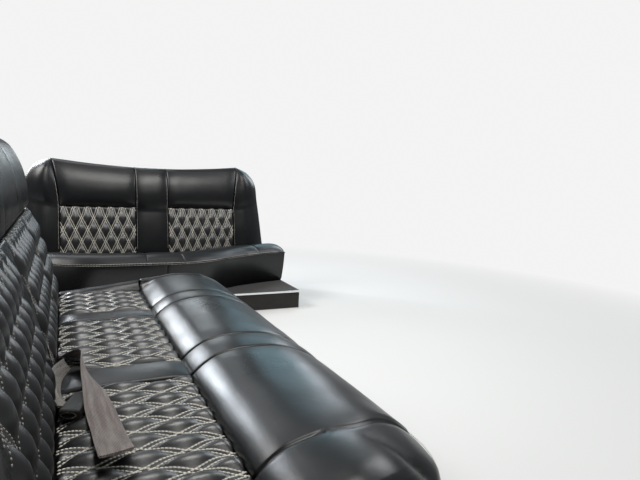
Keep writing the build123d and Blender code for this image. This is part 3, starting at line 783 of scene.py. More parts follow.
def finishes():
    """The seat's materials, made once."""
    looks = bpy.context.scene.looks
    made = {m.get("finish"): m for m in bpy.data.materials if m.get("finish")}
    if made:
        return made
    grain = leather_grain_group()
    made = {
        "plain": leather("black_leather", grain, looks.leather, 0.31, 1.0, 1.0, 0.45),
        "quilted": leather("black_quilted_leather", grain, looks.quilted, 0.34, 0.9, 0.25, 0.95),
        "thread": thread_material("cream_thread", looks.thread),
        "carpet": carpet_material(looks.carpet),
        "webbing": webbing_material("woven_webbing", looks.webbing, (0.36, 0.29, 0.26)),
        # The stalk's webbing: dark, with a pale streak colour that is partly its own tone and partly painted
        # sheen for its lit face.
        "stalk": webbing_material("stalk_webbing", (0.10, 0.085, 0.075), (0.42, 0.37, 0.32)),
        "hem": thread_material("hem_thread", (0.09, 0.07, 0.06)),
        # Thread darkened as painted shade, for the side back's stitches.
        "shade_painted_thread": thread_material("worn_thread", looks.shaded_side_thread),
        "chrome": hard_material("polished_strip", (0.78, 0.79, 0.80), 1.0, 0.10, 0.2),
        "plastic": hard_material("belt_housing", (0.011, 0.010, 0.009), 0.0, 0.5, 0.4),
        "steel": hard_material("belt_steel", (0.62, 0.63, 0.65), 1.0, 0.22, 0.3),
    }
    for key, material in made.items():
        material["finish"] = key
    return made


# Where the seat's last quilted panel meets its near end panel, as the photograph shows it.
NEAR_SEAM_Y = -1.203
# How far the bolster's seam there runs on towards the rear at its front.
NEAR_SLANT = 0.035


def side_spans(panel):
    """The near and far Y of a panel along the side bench's seat, and along its back."""
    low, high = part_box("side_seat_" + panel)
    seat = (NEAR_SEAM_Y if panel == "quilt_3" else low.y), (NEAR_SEAM_Y if panel == "near_end" else high.y)
    return seat, (low.y, high.y)


# The Y of the seams at either side of the side bench's straps.
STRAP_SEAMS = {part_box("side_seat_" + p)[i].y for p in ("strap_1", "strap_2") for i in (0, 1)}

# Surfaces that the pads lie on. A seat pad's lies PAD_SINK under its solid's top, and a side quilt's
# QUILT_SINK further.
PAD_SINK, QUILT_SINK = 0.004, 0.006
# Beside the bolster and in the crease it dips that much more, from that far away on.
BOLSTER_DIP, CREASE_DIP, DIP_REACH = 0.004, 0.006, 0.05
# How far a back pad reaches in behind its surface.
BACK_DEPTH = 0.03


def side_seat_place(start_y, sunk=0.0):
    """The side bench's seat, which dips towards the bolster and towards the crease."""
    def place(u, v):
        dip = BOLSTER_DIP * smooth(1 - v / DIP_REACH) \
            + CREASE_DIP * smooth(1 - (SEAM_X - CREASE_X - v) / DIP_REACH)
        return Vector((SEAM_X - v, start_y + u, SEAT_Z - PAD_SINK - sunk - dip)), Vector((0, 0, 1))
    return place


# Side back, from the quilts' top seam down to the crease: X, Z.
SIDE_QUILT_X = CREASE_X - 0.090
SIDE_BACK = Line([(SIDE_QUILT_X, SIDE_QUILT_Z)]
                 + arc((SIDE_QUILT_X, SIDE_QUILT_Z), (CREASE_X - 0.042, (SEAT_Z + SIDE_QUILT_Z) / 2),
                       (CREASE_X - 0.005, SEAT_Z - 0.006), 16))
# Rear back, from the quilts' top seam down to the crease: Y, Z.
REAR_BACK = Line([(REAR_QUILT_Y, REAR_QUILT_Z)]
                 + arc((REAR_QUILT_Y, REAR_QUILT_Z), (CREASE_Y + 0.017, (REAR_SEAT_Z + REAR_QUILT_Z) / 2),
                       (CREASE_Y, REAR_SEAT_Z), 16))


def side_back_place(start_y):
    """The side back's face, from the quilts' top seam down."""
    def place(u, v):
        point, normal = SIDE_BACK.at(v)
        return Vector((point.x, start_y + u, point.y)), Vector((normal.x, 0, normal.y))
    return place


def rear_back_place(start_x):
    """The rear back's face, from the quilts' top seam down."""
    def place(u, v):
        point, normal = REAR_BACK.at(v)
        return Vector((start_x + u, point.x, point.y)), Vector((0, -normal.x, -normal.y))
    return place


def rear_seat_place(start_x):
    """The rear bench's seat, from the crease forwards."""
    def place(u, v):
        return Vector((start_x + u, CREASE_Y - v, REAR_SEAT_Z - PAD_SINK)), Vector((0, 0, 1))
    return place


def border_place(start_y):
    """The narrow panel across the far end, which rises to the lip."""
    def place(u, v):
        lip = far_lip(SEAM_X - v) - SEAT_Z
        rise = smooth(u / 0.026) * lip - 0.012 * smooth((u - 0.028) / 0.012)
        return Vector((SEAM_X - v, start_y + u, SEAT_Z - PAD_SINK + rise)), Vector((0, 0, 1))
    return place


# How far along each quilted panel of the side seat its first whole diamond starts.
QUILT_STARTS = {"quilt_1": 0.013, "quilt_2": 0.013, "quilt_3": 0.020}


class SEAT_OT_side_quilts(bpy.types.Operator):
    """Quilted panels of the side bench's seat and back."""
    bl_idname = "seat.side_quilts"
    bl_label = "Side quilts"

    def execute(self, context):
        for panel in SIDE_QUILTS:
            (start, end), (back_start, back_end) = side_spans(panel)
            outline = rectangle(end - start, SEAM_X - CREASE_X)
            quilted_panel("side_seat_" + panel, outline, (QUILT_STARTS[panel], 0.008),
                          side_seat_place(start, QUILT_SINK), SEAT_Z - (PAD_SINK + QUILT_SINK) - CORE_Z,
                          context.scene.quilt.seat_length)
            outline = rectangle(back_end - back_start, SIDE_BACK.length)
            # The side back's stitches use the thread darkened as painted shade.
            quilted_panel("side_back_" + panel, outline, (0.02, 0.001), side_back_place(back_start),
                          BACK_DEPTH, context.scene.quilt.back_length, arched=True, thread="shade_painted_thread")
        return {"FINISHED"}


class SEAT_OT_side_plain(bpy.types.Operator):
    """Plain straps and ends between the quilted panels of the side bench."""
    bl_idname = "seat.side_plain"
    bl_label = "Side straps"

    def execute(self, context):
        for i, panel in enumerate(SIDE_PLAIN):
            (start, end), (back_start, back_end) = side_spans(panel)
            place = border_place if panel == "border" else side_seat_place
            plain_panel("side_seat_" + panel, rectangle(end - start, SEAM_X - CREASE_X), place(start), 0.08,
                        seed=i + 1.5, lowest=CORE_Z)
            plain_panel("side_back_" + panel, rectangle(back_end - back_start, SIDE_BACK.length),
                        side_back_place(back_start), BACK_DEPTH, seed=i + 7.5)
        return {"FINISHED"}


def relaxed(points, kept, rounds):
    """The points of an open line, evened out except for some at either end."""
    points = [Vector(p) for p in points]
    for _ in range(rounds):
        points = [p if i < kept or i >= len(points) - kept else (points[i - 1] + p * 2 + points[i + 1]) / 4
                  for i, p in enumerate(points)]
    return points


# Side bolster: its section from its seam over the crown to the nose: X, Z.
NOSE_Z = SEAT_Z - 0.010
# How far the nose swells out beyond the rim of the bolster's top.
ROLL_OUT = 0.008
NOSE_X, NEAR_RIM_Y = FRONT_X - ROLL_OUT, NEAR_Y + ROLL_OUT
BOLSTER_TOP = Line([(SEAM_X, SEAT_Z - 0.012), (SEAM_X - 0.004, SEAT_Z - 0.007)]
                   + relaxed(arc((SEAM_X - 0.004, SEAT_Z - 0.007), (SEAM_X + 0.038, SEAT_Z + 0.0285),
                                 (SEAM_X + 0.135, CROWN_Z), 14)
                             + arc((SEAM_X + 0.135, CROWN_Z), (FRONT_X - 0.075, SEAT_Z + 0.0306),
                                   (NOSE_X, NOSE_Z), 22), 6, 14))
# The round near corner: its radius, its centre, and how far in from both sides its middle lies.
CORNER_R = 0.22
CORNER_X, CORNER_Y = NOSE_X - CORNER_R, NEAR_RIM_Y + CORNER_R
CORNER_TURN = CORNER_R * (1 - math.sqrt(0.5))
# Lengths of the bolster's rolled ends.
NEAR_ROLL, FAR_ROLL = 0.075, 0.020
# The lip across the bench's far end, where border and bolster are one wrap: X, Z.
FAR_LIP = Line([(CREASE_X - 0.01, SEAT_Z - 0.003), (CREASE_X + 0.07, SEAT_Z + 0.005),
                (CREASE_X + 0.17, SEAT_Z + 0.017), (SEAM_X, SEAT_Z + 0.031), (SEAM_X + 0.055, SEAT_Z + 0.038),
                (SEAM_X + 0.114, CROWN_Z - 0.001), (SEAM_X + 0.167, CROWN_Z - 0.001),
                (SEAM_X + 0.218, CROWN_Z - 0.005), (SEAM_X + 0.266, SEAT_Z + 0.020), (NOSE_X, NOSE_Z)])


def far_lip(x):
    """Height of the lip at an X."""
    return FAR_LIP.at(FAR_LIP.where(0, max(CREASE_X - 0.01, min(NOSE_X - 0.0001, x))))[0].y


def seam_pull(sizes, distance, seams, ends):
    """Height along a roll that is sewn down at cross seams and swells between them."""
    nearest = min(abs(distance - s) for s in seams)
    groove = math.exp(-(nearest / sizes.seam_width) ** 1.4)
    marks = sorted(set(seams) | set(ends))
    swell = 0.0
    for a, b in zip(marks, marks[1:]):
        if a <= distance <= b:
            reach = min(0.06, (b - a) / 2)
            swell = fullness(min(distance - a, b - distance), reach)
    return sizes.puff * swell - sizes.seam_depth * groove


def round_corner(x, y):
    """Moves a point of the square near corner, beyond the round one's centre, onto the round one."""
    p, q = x - CORNER_X, CORNER_Y - y
    if p <= 0 or q <= 0:
        return x, y
    size, other = max(p, q), min(p, q)
    angle = other / size * math.pi / 4
    a, b = size * math.cos(angle), size * math.sin(angle)
    if q > p:
        a, b = b, a
    return CORNER_X + a, CORNER_Y - b


def side_bolster_form(sizes, seams):
    """The side bolster: top surface with rolled ends and a round near corner, then its nose and underside."""
    ys = set(steps(NEAR_Y, FAR_Y, MESH_STEP, seams))
    ys |= {NEAR_Y + NEAR_ROLL * x for x in (0.01, 0.03, 0.07, 0.15, 0.3, 0.5, 0.75)}
    ys |= {FAR_Y - FAR_ROLL * x for x in (0.01, 0.04, 0.1, 0.25, 0.5, 0.75)}
    bm = flat_grid(range(len(BOLSTER_TOP.points)), sorted(ys))
    for v in bm.verts:
        point = BOLSTER_TOP.points[round(v.co.x)]
        y = v.co.y
        near, far = end_share(y - NEAR_Y, NEAR_ROLL), end_share(FAR_Y - y, FAR_ROLL)
        low = min(NOSE_Z, point.y)
        top = point.y + (max(point.y, far_lip(point.x)) - point.y) * smooth((y - FAR_Y + 0.052) / 0.034)
        height = (top - low) * math.sqrt(max(0.0, 1 - near ** 2)) * max(0.0, 1 - far ** 2.4) ** (1 / 2.4)
        y = NEAR_RIM_Y + (y - NEAR_Y) * (FAR_Y - NEAR_Y - 2 * ROLL_OUT) / (FAR_Y - NEAR_Y)
        v.co = (*round_corner(point.x, y), low + height)
    wall_down(bm, NOSE_LEVELS, ring_out)
    pull_seams(bm, lambda co: seam_pull(sizes, co.y, seams, (NEAR_Y, FAR_Y)), CORE_Z + 0.004)
    for v in bm.verts:
        v.co.y += NEAR_SLANT * smooth((v.co.x + 0.05) / 0.12) * smooth(1 - abs(v.co.y - NEAR_SEAM_Y) / 0.07)
    return bm


# How the nose of a bolster turns under: offset outwards from its rim, Z.
NOSE_LEVELS = ((0.0045, SEAT_Z - 0.014), (0.0072, SEAT_Z - 0.019), (ROLL_OUT, CORE_Z + 0.013),
               (0.005, CORE_Z + 0.006), (-0.003, CORE_Z + 0.001), (-0.012, CORE_Z))


def ring_out(x, y):
    """Which way is outwards from the side bolster's plan at a point of its rim."""
    if x <= SEAM_X + 0.001:
        return Vector((0, 0))
    if x > CORNER_X and y < CORNER_Y:
        return Vector((x - CORNER_X, y - CORNER_Y)).normalized()
    if y < CORNER_Y:
        return Vector((0, -1))
    if x < NOSE_X - 0.02:
        return Vector((0, 1))
    return Vector((1, 0))


def wall_down(bm, levels, outward):
    """Takes the open rim of a form down through levels of (offset outwards, Z), and fills its underside."""
    rim = [e for e in bm.edges if e.is_boundary]
    last = 0.0
    for offset, z in levels:
        made = bmesh.ops.extrude_edge_only(bm, edges=rim)["geom"]
        rim = [g for g in made if isinstance(g, bmesh.types.BMEdge) and g.is_boundary]
        for v in [g for g in made if isinstance(g, bmesh.types.BMVert)]:
            way = outward(v.co.x, v.co.y) * (offset - last)
            v.co = (v.co.x + way.x, v.co.y + way.y, min(v.co.z, z))
        last = offset
    fill_open(bm)


def pull_seams(bm, height, floor_z):
    """Moves the surface above floor_z along its normals by a height that depends on the place."""
    bmesh.ops.recalc_face_normals(bm, faces=bm.faces)
    bm.normal_update()
    moves = [v.normal * height(v.co) * smooth((v.co.z - floor_z) / 0.01) for v in bm.verts]
    for v, move in zip(bm.verts, moves):
        v.co += move


class SEAT_OT_side_bolster(bpy.types.Operator):
    """The long roll along the side bench's front, with its cross seams and edge stitching."""
    bl_idname = "seat.side_bolster"
    bl_label = "Side bolster"

    def execute(self, context):
        sizes = context.scene.rolls
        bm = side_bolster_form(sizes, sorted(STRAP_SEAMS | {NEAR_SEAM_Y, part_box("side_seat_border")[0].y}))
        uneven(bm, sizes.waviness, seed=3.0)
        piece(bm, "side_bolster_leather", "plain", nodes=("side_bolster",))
        plan = Line([(NOSE_X, FAR_Y - 0.05), (NOSE_X, CORNER_Y)]
                    + arc((NOSE_X, CORNER_Y), (NOSE_X - CORNER_TURN, NEAR_RIM_Y + CORNER_TURN),
                          (CORNER_X, NEAR_RIM_Y))
                    + [(SEAM_X + 0.01, NEAR_RIM_Y)])

        def edge(distance):
            at = plan.at(distance)
            return beside(at, 0.0095, SEAT_Z - 0.020), Vector((*at[1], 0.15)).normalized()

        sew(row_places(edge, plan.length), "side_bolster_stitches", "thread", share=0.7)
        return {"FINISHED"}


# The rear cushion's front edge seen from above: X, how far behind the foremost line, and the bends' radii.
REAR_FRONT = ((WALL_X, 0.150), (-0.360, 0.0), (0.150, 0.0), (0.440, 0.190), (RIGHT_X, 0.280))
REAR_FRONT_R = (0.420, 0.480, 0.560)
# The bolster's depth, and how far in from the front edge the pocket under it starts.
REAR_BOLSTER_DEPTH, REAR_SILL = 0.180, 0.060
# Lengths of the bolster's left and right tips.
LEFT_TIP, RIGHT_TIP = 0.05, 0.095
# How far the front line runs on past each wall before the forms are cut off there.
RUN_ON = 0.30
# How far an apron lies in under its bolster's nose, and how much further in its foot is.
NOSE_LIP, APRON_TAPER = 0.012, 0.035


def rear_front_line():
    """The front edge, run on past both walls, from left to right. Its normals point rearwards."""
    a, b, *others, c, d = [Vector((x, REAR_FRONT_Y + y)) for x, y in REAR_FRONT]
    first, last = a + (a - b).normalized() * RUN_ON, d + (d - c).normalized() * RUN_ON
    return rounded((first, b, *others, c, last), REAR_FRONT_R)


# Rear bolster's section: inwards from its front edge, Z. It starts under the nose and goes round.
REAR_SECTION = [Vector(p) for p in (
    [(NOSE_LIP, REAR_APRON_Z), (0.004, REAR_APRON_Z + 0.001)]
    + arc((0.004, REAR_APRON_Z + 0.001), (0.0, REAR_APRON_Z + 0.008), (0.005, REAR_APRON_Z + 0.015), 5)
    + arc((0.005, REAR_APRON_Z + 0.015), (0.034, REAR_CROWN_Z - 0.011), (0.095, REAR_CROWN_Z), 12)
    + arc((0.095, REAR_CROWN_Z), (0.154, REAR_CROWN_Z - 0.024), (REAR_BOLSTER_DEPTH, REAR_SEAT_Z - 0.005), 12)
    + [(REAR_BOLSTER_DEPTH, REAR_CORE_Z + 0.008), (REAR_BOLSTER_DEPTH, REAR_CORE_Z),
       (REAR_SILL + 0.001, REAR_CORE_Z), (REAR_SILL + 0.001, REAR_APRON_Z)])]
# The X at which its cross seams meet its front edge.
REAR_SEAM_X = (-0.55, -CENTRE_X - 0.009, CENTRE_X - 0.006, 0.55)
# Distance of the mesh lines of the rear roll, the head roll and the rear back's pads.
ROLL_STEP = 0.014


def between_walls(bm):
    """Cuts a form off at both walls and fills the cuts."""
    for x, way in ((WALL_X, 1), (RIGHT_X, -1)):
        slice_upright(bm, (x, 0), (way, 0), clear=True)
    fill_open(bm)


class SEAT_OT_rear_bolster(bpy.types.Operator):
    """The roll along the rear bench's curved front, with its seams and double edge stitching."""
    bl_idname = "seat.rear_bolster"
    bl_label = "Rear bolster"

    def execute(self, context):
        sizes = context.scene.rolls
        line = rear_front_line()
        start, end = line.where(0, WALL_X) - 0.12, line.where(0, RIGHT_X) + 0.12
        seams = [line.where(0, x) for x in REAR_SEAM_X]
        rings = []
        for u in steps(start, end, ROLL_STEP, seams):
            at, pull = line.at(u), seam_pull(sizes, u, seams, (start, end))
            rings.append([beside(at, p.x, p.y + pull * smooth((p.y - REAR_APRON_Z - 0.01) / 0.03))
                          for p in REAR_SECTION])
        bm = loft(rings)
        between_walls(bm)
        for v in bm.verts:
            if v.co.z > REAR_APRON_Z + 0.002:
                left, right = end_share(v.co.x - WALL_X, LEFT_TIP), end_share(RIGHT_X - v.co.x, RIGHT_TIP)
                keep = (0.5 + 0.5 * math.sqrt(1 - left * left)) * (0.22 + 0.78 * math.sqrt(1 - right ** 2.4))
                v.co.z = REAR_APRON_Z + (v.co.z - REAR_APRON_Z) * keep
        uneven(bm, sizes.waviness, seed=5.0)
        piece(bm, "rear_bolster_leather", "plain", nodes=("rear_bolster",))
        places = []
        first, last = line.where(0, WALL_X + 0.06), line.where(0, RIGHT_X - 0.05)
        for back, z in ((0.0008, REAR_APRON_Z + 0.011), (0.0012, REAR_APRON_Z + 0.004)):

            def edge(distance):
                at = line.at(first + distance)
                lift = 0.005 * smooth((at[0].x - 0.5) / 0.2)
                return beside(at, back, z + lift), Vector((*-at[1], 0.1)).normalized()

            places += row_places(edge, last - first)
        sew(places, "rear_bolster_stitches", "thread", share=0.5)
        return {"FINISHED"}


def apron_levels(top):
    """How an apron tapers from the bolster down to the plinth: inwards, Z."""
    shares = (0.0, 0.04, 0.12, 0.25, 0.4, 0.6, 0.8, 0.93, 0.98, 1.0)
    return [(APRON_TAPER * x ** 1.4 + 0.008 * smooth((x - 0.9) / 0.1), top - (top - RISER_Z) * x)
            for x in shares]


def side_apron_plan(inset):
    """The side cushion's block seen from above, its front and near side moved in."""
    near, front = NEAR_Y + NOSE_LIP + inset, FRONT_X - NOSE_LIP - inset
    turn, start = (front - CORNER_R, near), near + CORNER_R
    corner = arc(turn, (front - CORNER_TURN, near + CORNER_TURN), (front, start), 12)
    straight = [(front, start + (FAR_Y - start) * (i + 1) / 24) for i in range(24)]
    return [(CREASE_X, FAR_Y), (CREASE_X, near), turn] + corner + straight


class SEAT_OT_aprons(bpy.types.Operator):
    """The upholstered blocks below the pads, whose faces are the aprons."""
    bl_idname = "seat.aprons"
    bl_label = "Aprons"

    def execute(self, context):
        sizes = context.scene.rolls
        bm = loft([[Vector((*p, z)) for p in side_apron_plan(inset)] for inset, z in apron_levels(CORE_Z)])
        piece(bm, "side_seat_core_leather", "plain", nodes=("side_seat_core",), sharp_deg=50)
        line = rear_front_line()
        seam = line.where(0, 0.0)
        rings = []
        # The first two rings are the floor and the front of the pocket that the bolster is let into.
        pocket = REAR_SILL - NOSE_LIP
        for inset, z in [(pocket, REAR_CORE_Z), (pocket, REAR_APRON_Z)] + apron_levels(REAR_APRON_Z):
            low = min(z, REAR_CORE_Z)
            ring = [Vector((WALL_X - RUN_ON, CREASE_Y, low))]
            for u in steps(0.0, line.length, 0.03, [seam], (0.001, 0.0025, 0.0045, 0.008)):
                point, normal = line.at(u)
                crease = 0.004 * math.exp(-(abs(u - seam) / 0.003) ** 1.4)
                ring.append(Vector((*(point + normal * (NOSE_LIP + inset + crease)), z)))
            rings.append(ring + [Vector((RIGHT_X + RUN_ON, CREASE_Y, low))])
        bm = loft(rings)
        between_walls(bm)
        uneven(bm, sizes.waviness, size=0.14)
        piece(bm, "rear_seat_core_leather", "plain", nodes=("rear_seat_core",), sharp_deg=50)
        return {"FINISHED"}


# Rear backrest from the front: where the top meets the shoulder, the shoulder, the dip, the end seams' slant.
REAR_HALF_TOP = 0.520
REAR_SHOULDER_X, REAR_SHOULDER_Z = 0.641, 0.630
REAR_TOP_DIP = 0.030
REAR_SEAM_SLANT = 0.038
# From the side: the pads' thickness at the seat, the shell's slope, the head pads' lip and face.
BACK_PAD = 0.055
REAR_SHELL_SLOPE = 0.184
HEAD_LIP_Y, HEAD_LIP_Z = CREASE_Y + 0.110, REAR_TOP_Z - 0.022
HEAD_FACE = arc((REAR_QUILT_Y, REAR_QUILT_Z), (REAR_QUILT_Y + 0.006, (REAR_QUILT_Z + HEAD_LIP_Z) / 2),
                (HEAD_LIP_Y, HEAD_LIP_Z), 14)
# A head pad's swell, how far in from its seams it is full, and the radius of its edges with their mesh lines.
HEAD_SWELL, HEAD_REACH, PAD_EDGE = 0.009, 0.06, 0.008
EDGE_LINES = (0.0006, 0.002, 0.004, 0.007, 0.011)
# An end section's swell, and where its flank starts to curve back and how far it does.
END_SWELL, FLANK_START, FLANK_DEPTH = 0.014, 0.30, 0.072


def rear_shell_y(z):
    """Y of the rear back's shell at a height."""
    return CREASE_Y + BACK_PAD + REAR_SHELL_SLOPE * (z - REAR_CORE_Z)


def end_seam_x(z):
    """Half distance between the seams of the end sections at a height."""
    share = max(0.0, (z - REAR_QUILT_Z) / (REAR_TOP_Z - REAR_QUILT_Z))
    return QUILT_OUT_X + REAR_SEAM_SLANT * share ** 1.55


def dipped_top(x):
    """Height of the back's top edge, lower in the middle."""
    return REAR_TOP_Z - REAR_TOP_DIP * (1 - min(1.0, abs(x) / REAR_HALF_TOP) ** 2)


# The outer edge of an end section, from its foot up and over the shoulder: half width, Z.
SHOULDER_MID = ((REAR_SHOULDER_X + REAR_HALF_TOP) / 2 + 0.018, REAR_TOP_Z - 0.042)
OUTER_EDGE = Line([(REAR_FOOT_X, REAR_CORE_Z), (REAR_SHOULDER_X, REAR_SHOULDER_Z)]
                  + arc((REAR_SHOULDER_X, REAR_SHOULDER_Z), SHOULDER_MID, (REAR_HALF_TOP, REAR_TOP_Z), 14))


def rear_section(from_seat):
    """A rear back pad from the side, as a loop of (Y, Z), and how many of its points are in front."""
    over = arc((HEAD_LIP_Y, HEAD_LIP_Z), (HEAD_LIP_Y + 0.030, REAR_TOP_Z),
               (REAR_BACK_Y, REAR_TOP_Z - 0.014), 10)
    if from_seat:
        low_z, top = REAR_CORE_Z, REAR_BACK.points[::-1] + HEAD_FACE
        front = [(CREASE_Y, REAR_CORE_Z)]
    else:
        low_z, top = REAR_QUILT_Z, [p for p in HEAD_FACE if p.y > REAR_QUILT_Z + 0.012]
        front = [(REAR_QUILT_Y, REAR_QUILT_Z + x) for x in (0.0,) + EDGE_LINES]
    front += [tuple(p) for p in top + over]
    back = [(REAR_BACK_Y, REAR_SHELL_Z)] + [(rear_shell_y(z), z) for z in (REAR_SHELL_Z, low_z)]
    return front + back, len(front)


def head_pad(name, left, right, from_seat, seed):
    """A pad of the rear back between two seams. left and right give the seams' X at a height."""
    section, front_count = rear_section(from_seat)
    low_z = section[0][1]
    rings = []
    wide = right(REAR_QUILT_Z) - left(REAR_QUILT_Z)
    marks = set(steps(0.0, wide, ROLL_STEP)) | {e for x in EDGE_LINES for e in (x, wide - x)}
    for u in sorted(marks):
        ring = []
        for i, (y, z) in enumerate(section):
            x = left(z) + (right(z) - left(z)) * u / wide
            place_z = low_z + (z - low_z) * (dipped_top(x) - low_z) / (REAR_TOP_Z - low_z) if z > low_z else z
            if i < front_count:
                inside = min(u, wide - u, 1.0 if from_seat else z - REAR_QUILT_Z)
                swell = HEAD_SWELL * fullness(inside, HEAD_REACH) - roll_down(inside, PAD_EDGE)
                y -= swell * smooth((REAR_TOP_Z - z) / 0.02 + 0.3)
            ring.append(Vector((x, y, place_z)))
        rings.append(ring)
    soft_loft(rings, name, seed)


def end_pad(name, way, seed):
    """An end section of the rear back: from its slanting seam out over the rounded flank and shoulder."""
    section, front_count = rear_section(True)
    low_z = section[0][1]
    rings = []
    shares = sorted({i / 16 for i in range(17)} | {0.004, 0.012, 0.025, 0.045, 0.97, 0.985, 0.995})
    for a in shares:
        ring = []
        for i, (y, z) in enumerate(section):
            share = (z - low_z) / (REAR_TOP_Z - low_z)
            outer = OUTER_EDGE.at(OUTER_EDGE.length * share)[0]
            inner = Vector((end_seam_x(z), z))
            at = inner.lerp(outer, a)
            if i < front_count:
                inside = a * (outer.x - inner.x)
                flank = max(0.0, (a - FLANK_START) / (1 - FLANK_START))
                y += FLANK_DEPTH * (1 - math.sqrt(max(0.0, 1 - flank ** 2))) + roll_down(inside, PAD_EDGE)
                y -= END_SWELL * math.sin(math.pi * min(1.0, a * 1.15)) * smooth((REAR_TOP_Z - z) / 0.06)
                y = min(y, rear_shell_y(z) if z < REAR_SHELL_Z else REAR_BACK_Y)
            ring.append(Vector((at.x * way, y, at.y)))
        rings.append(ring)
    soft_loft(rings, name, seed)


class SEAT_OT_rear_back(bpy.types.Operator):
    """The rear back: head pads, plain centre, end sections and the quilted panels between them."""
    bl_idname = "seat.rear_back"
    bl_label = "Rear back"

    def execute(self, context):
        head_pad("rear_head_left", lambda z: -end_seam_x(z), lambda z: -CENTRE_X, False, 11.0)
        head_pad("rear_head_right", lambda z: CENTRE_X, end_seam_x, False, 12.0)
        head_pad("rear_back_centre", lambda z: -CENTRE_X, lambda z: CENTRE_X, True, 13.0)
        end_pad("rear_back_end_left", -1, 14.0)
        end_pad("rear_back_end_right", 1, 15.0)
        self.seam_rows()
        wide = QUILT_OUT_X - CENTRE_X
        for side, start in (("left", -QUILT_OUT_X), ("right", CENTRE_X)):
            quilted_panel("rear_back_quilt_" + side, rectangle(wide, REAR_BACK.length), (0.017, 0.001),
                          rear_back_place(start), BACK_DEPTH, context.scene.quilt.back_length, arched=True)
        return {"FINISHED"}

    def seam_rows(self):
        """Fine rows of stitches beside the seams of the centre strip and of the end sections."""
        line = Line(REAR_BACK.points[::-1] + HEAD_FACE)
        places = []
        for seam, way in ((lambda z: CENTRE_X, -1), (end_seam_x, 1)):
            for side in (-1, 1):

                def edge(distance):
                    point = line.at(distance + 0.03)[0]
                    x = seam(point.y) + way * 0.005
                    lift = (dipped_top(x) - REAR_CORE_Z) / (REAR_TOP_Z - REAR_CORE_Z)
                    z = REAR_CORE_Z + (point.y - REAR_CORE_Z) * (lift if point.y > REAR_CORE_Z else 1.0)
                    return Vector((x * side, point.x - 0.0015, z)), Vector((0, -1, 0.2)).normalized()

                places += row_places(edge, line.length - 0.06)
        sew(places, "rear_back_stitches", "thread", share=0.5)


def rear_seat_outline(left, right):
    """A rear seat panel seen from above, from the crease forwards to the bolster, as (u, v)."""
    line = rear_front_line()
    inner = Line([p + n * REAR_BOLSTER_DEPTH for p, n in zip(line.points, line.normals)])
    curve = []
    for i in range(9):
        x = right + (left - right) * i / 8
        depth = CREASE_Y - inner.at(inner.where(0, x))[0].y
        if depth > 0.003:
            curve.append((x - left, depth))
    corners = [(0, 0), (curve[0][0], 0)] + curve
    # The sweep at the right turns the other way, so its hollow points are left out.
    for p, q, t in list(zip(corners, corners[1:], corners[2:])):
        if (q[0] - p[0]) * (t[1] - q[1]) <= (q[1] - p[1]) * (t[0] - q[0]):
            corners.remove(q)
    return planes(corners)


class SEAT_OT_rear_seat(bpy.types.Operator):
    """The rear bench's seat panels, behind the bolster."""
    bl_idname = "seat.rear_seat"
    bl_label = "Rear seat"

    def execute(self, context):
        for i, panel in enumerate(("end_left", "quilt_left", "centre", "quilt_right", "end_right")):
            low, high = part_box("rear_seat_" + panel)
            outline = rear_seat_outline(low.x, high.x)
            name, place = "rear_seat_" + panel, rear_seat_place(low.x)
            depth = REAR_SEAT_Z - PAD_SINK - REAR_CORE_Z
            if "quilt" in panel:
                quilted_panel(name, outline, (0.020, 0.0), place, depth, context.scene.quilt.seat_length)
            else:
                plain_panel(name, outline, place, depth, seed=20.0 + i)
        return {"FINISHED"}


# Side head roll: the slope of the shell behind it, its front and back, and the lengths of its rolled ends.
SIDE_SHELL_SLOPE = 0.2357
HEAD_ROLL_X = WALL_X + 0.118
HEAD_ROLL_BACK_X = WALL_X + 0.030
HEAD_NEAR_ROLL, HEAD_FAR_ROLL = 0.05, 0.03


def side_shell_x(z):
    """X of the side back's shell at a height."""
    return CREASE_X - BACK_PAD - SIDE_SHELL_SLOPE * (z - CORE_Z)


# Its face, from the quilts' top seam up and over: X, Z.
SIDE_ROLL_FRONT = Line([(SIDE_QUILT_X, SIDE_QUILT_Z)]
                       + arc((SIDE_QUILT_X, SIDE_QUILT_Z),
                             (SIDE_QUILT_X - 0.004, 0.5 * (SIDE_QUILT_Z + SIDE_TOP_Z) - 0.01),
                             (HEAD_ROLL_X, SIDE_TOP_Z - 0.022), 16)
                       + arc((HEAD_ROLL_X, SIDE_TOP_Z - 0.022), (HEAD_ROLL_X - 0.028, SIDE_TOP_Z - 0.002),
                             (HEAD_ROLL_BACK_X, SIDE_TOP_Z - 0.012), 10))


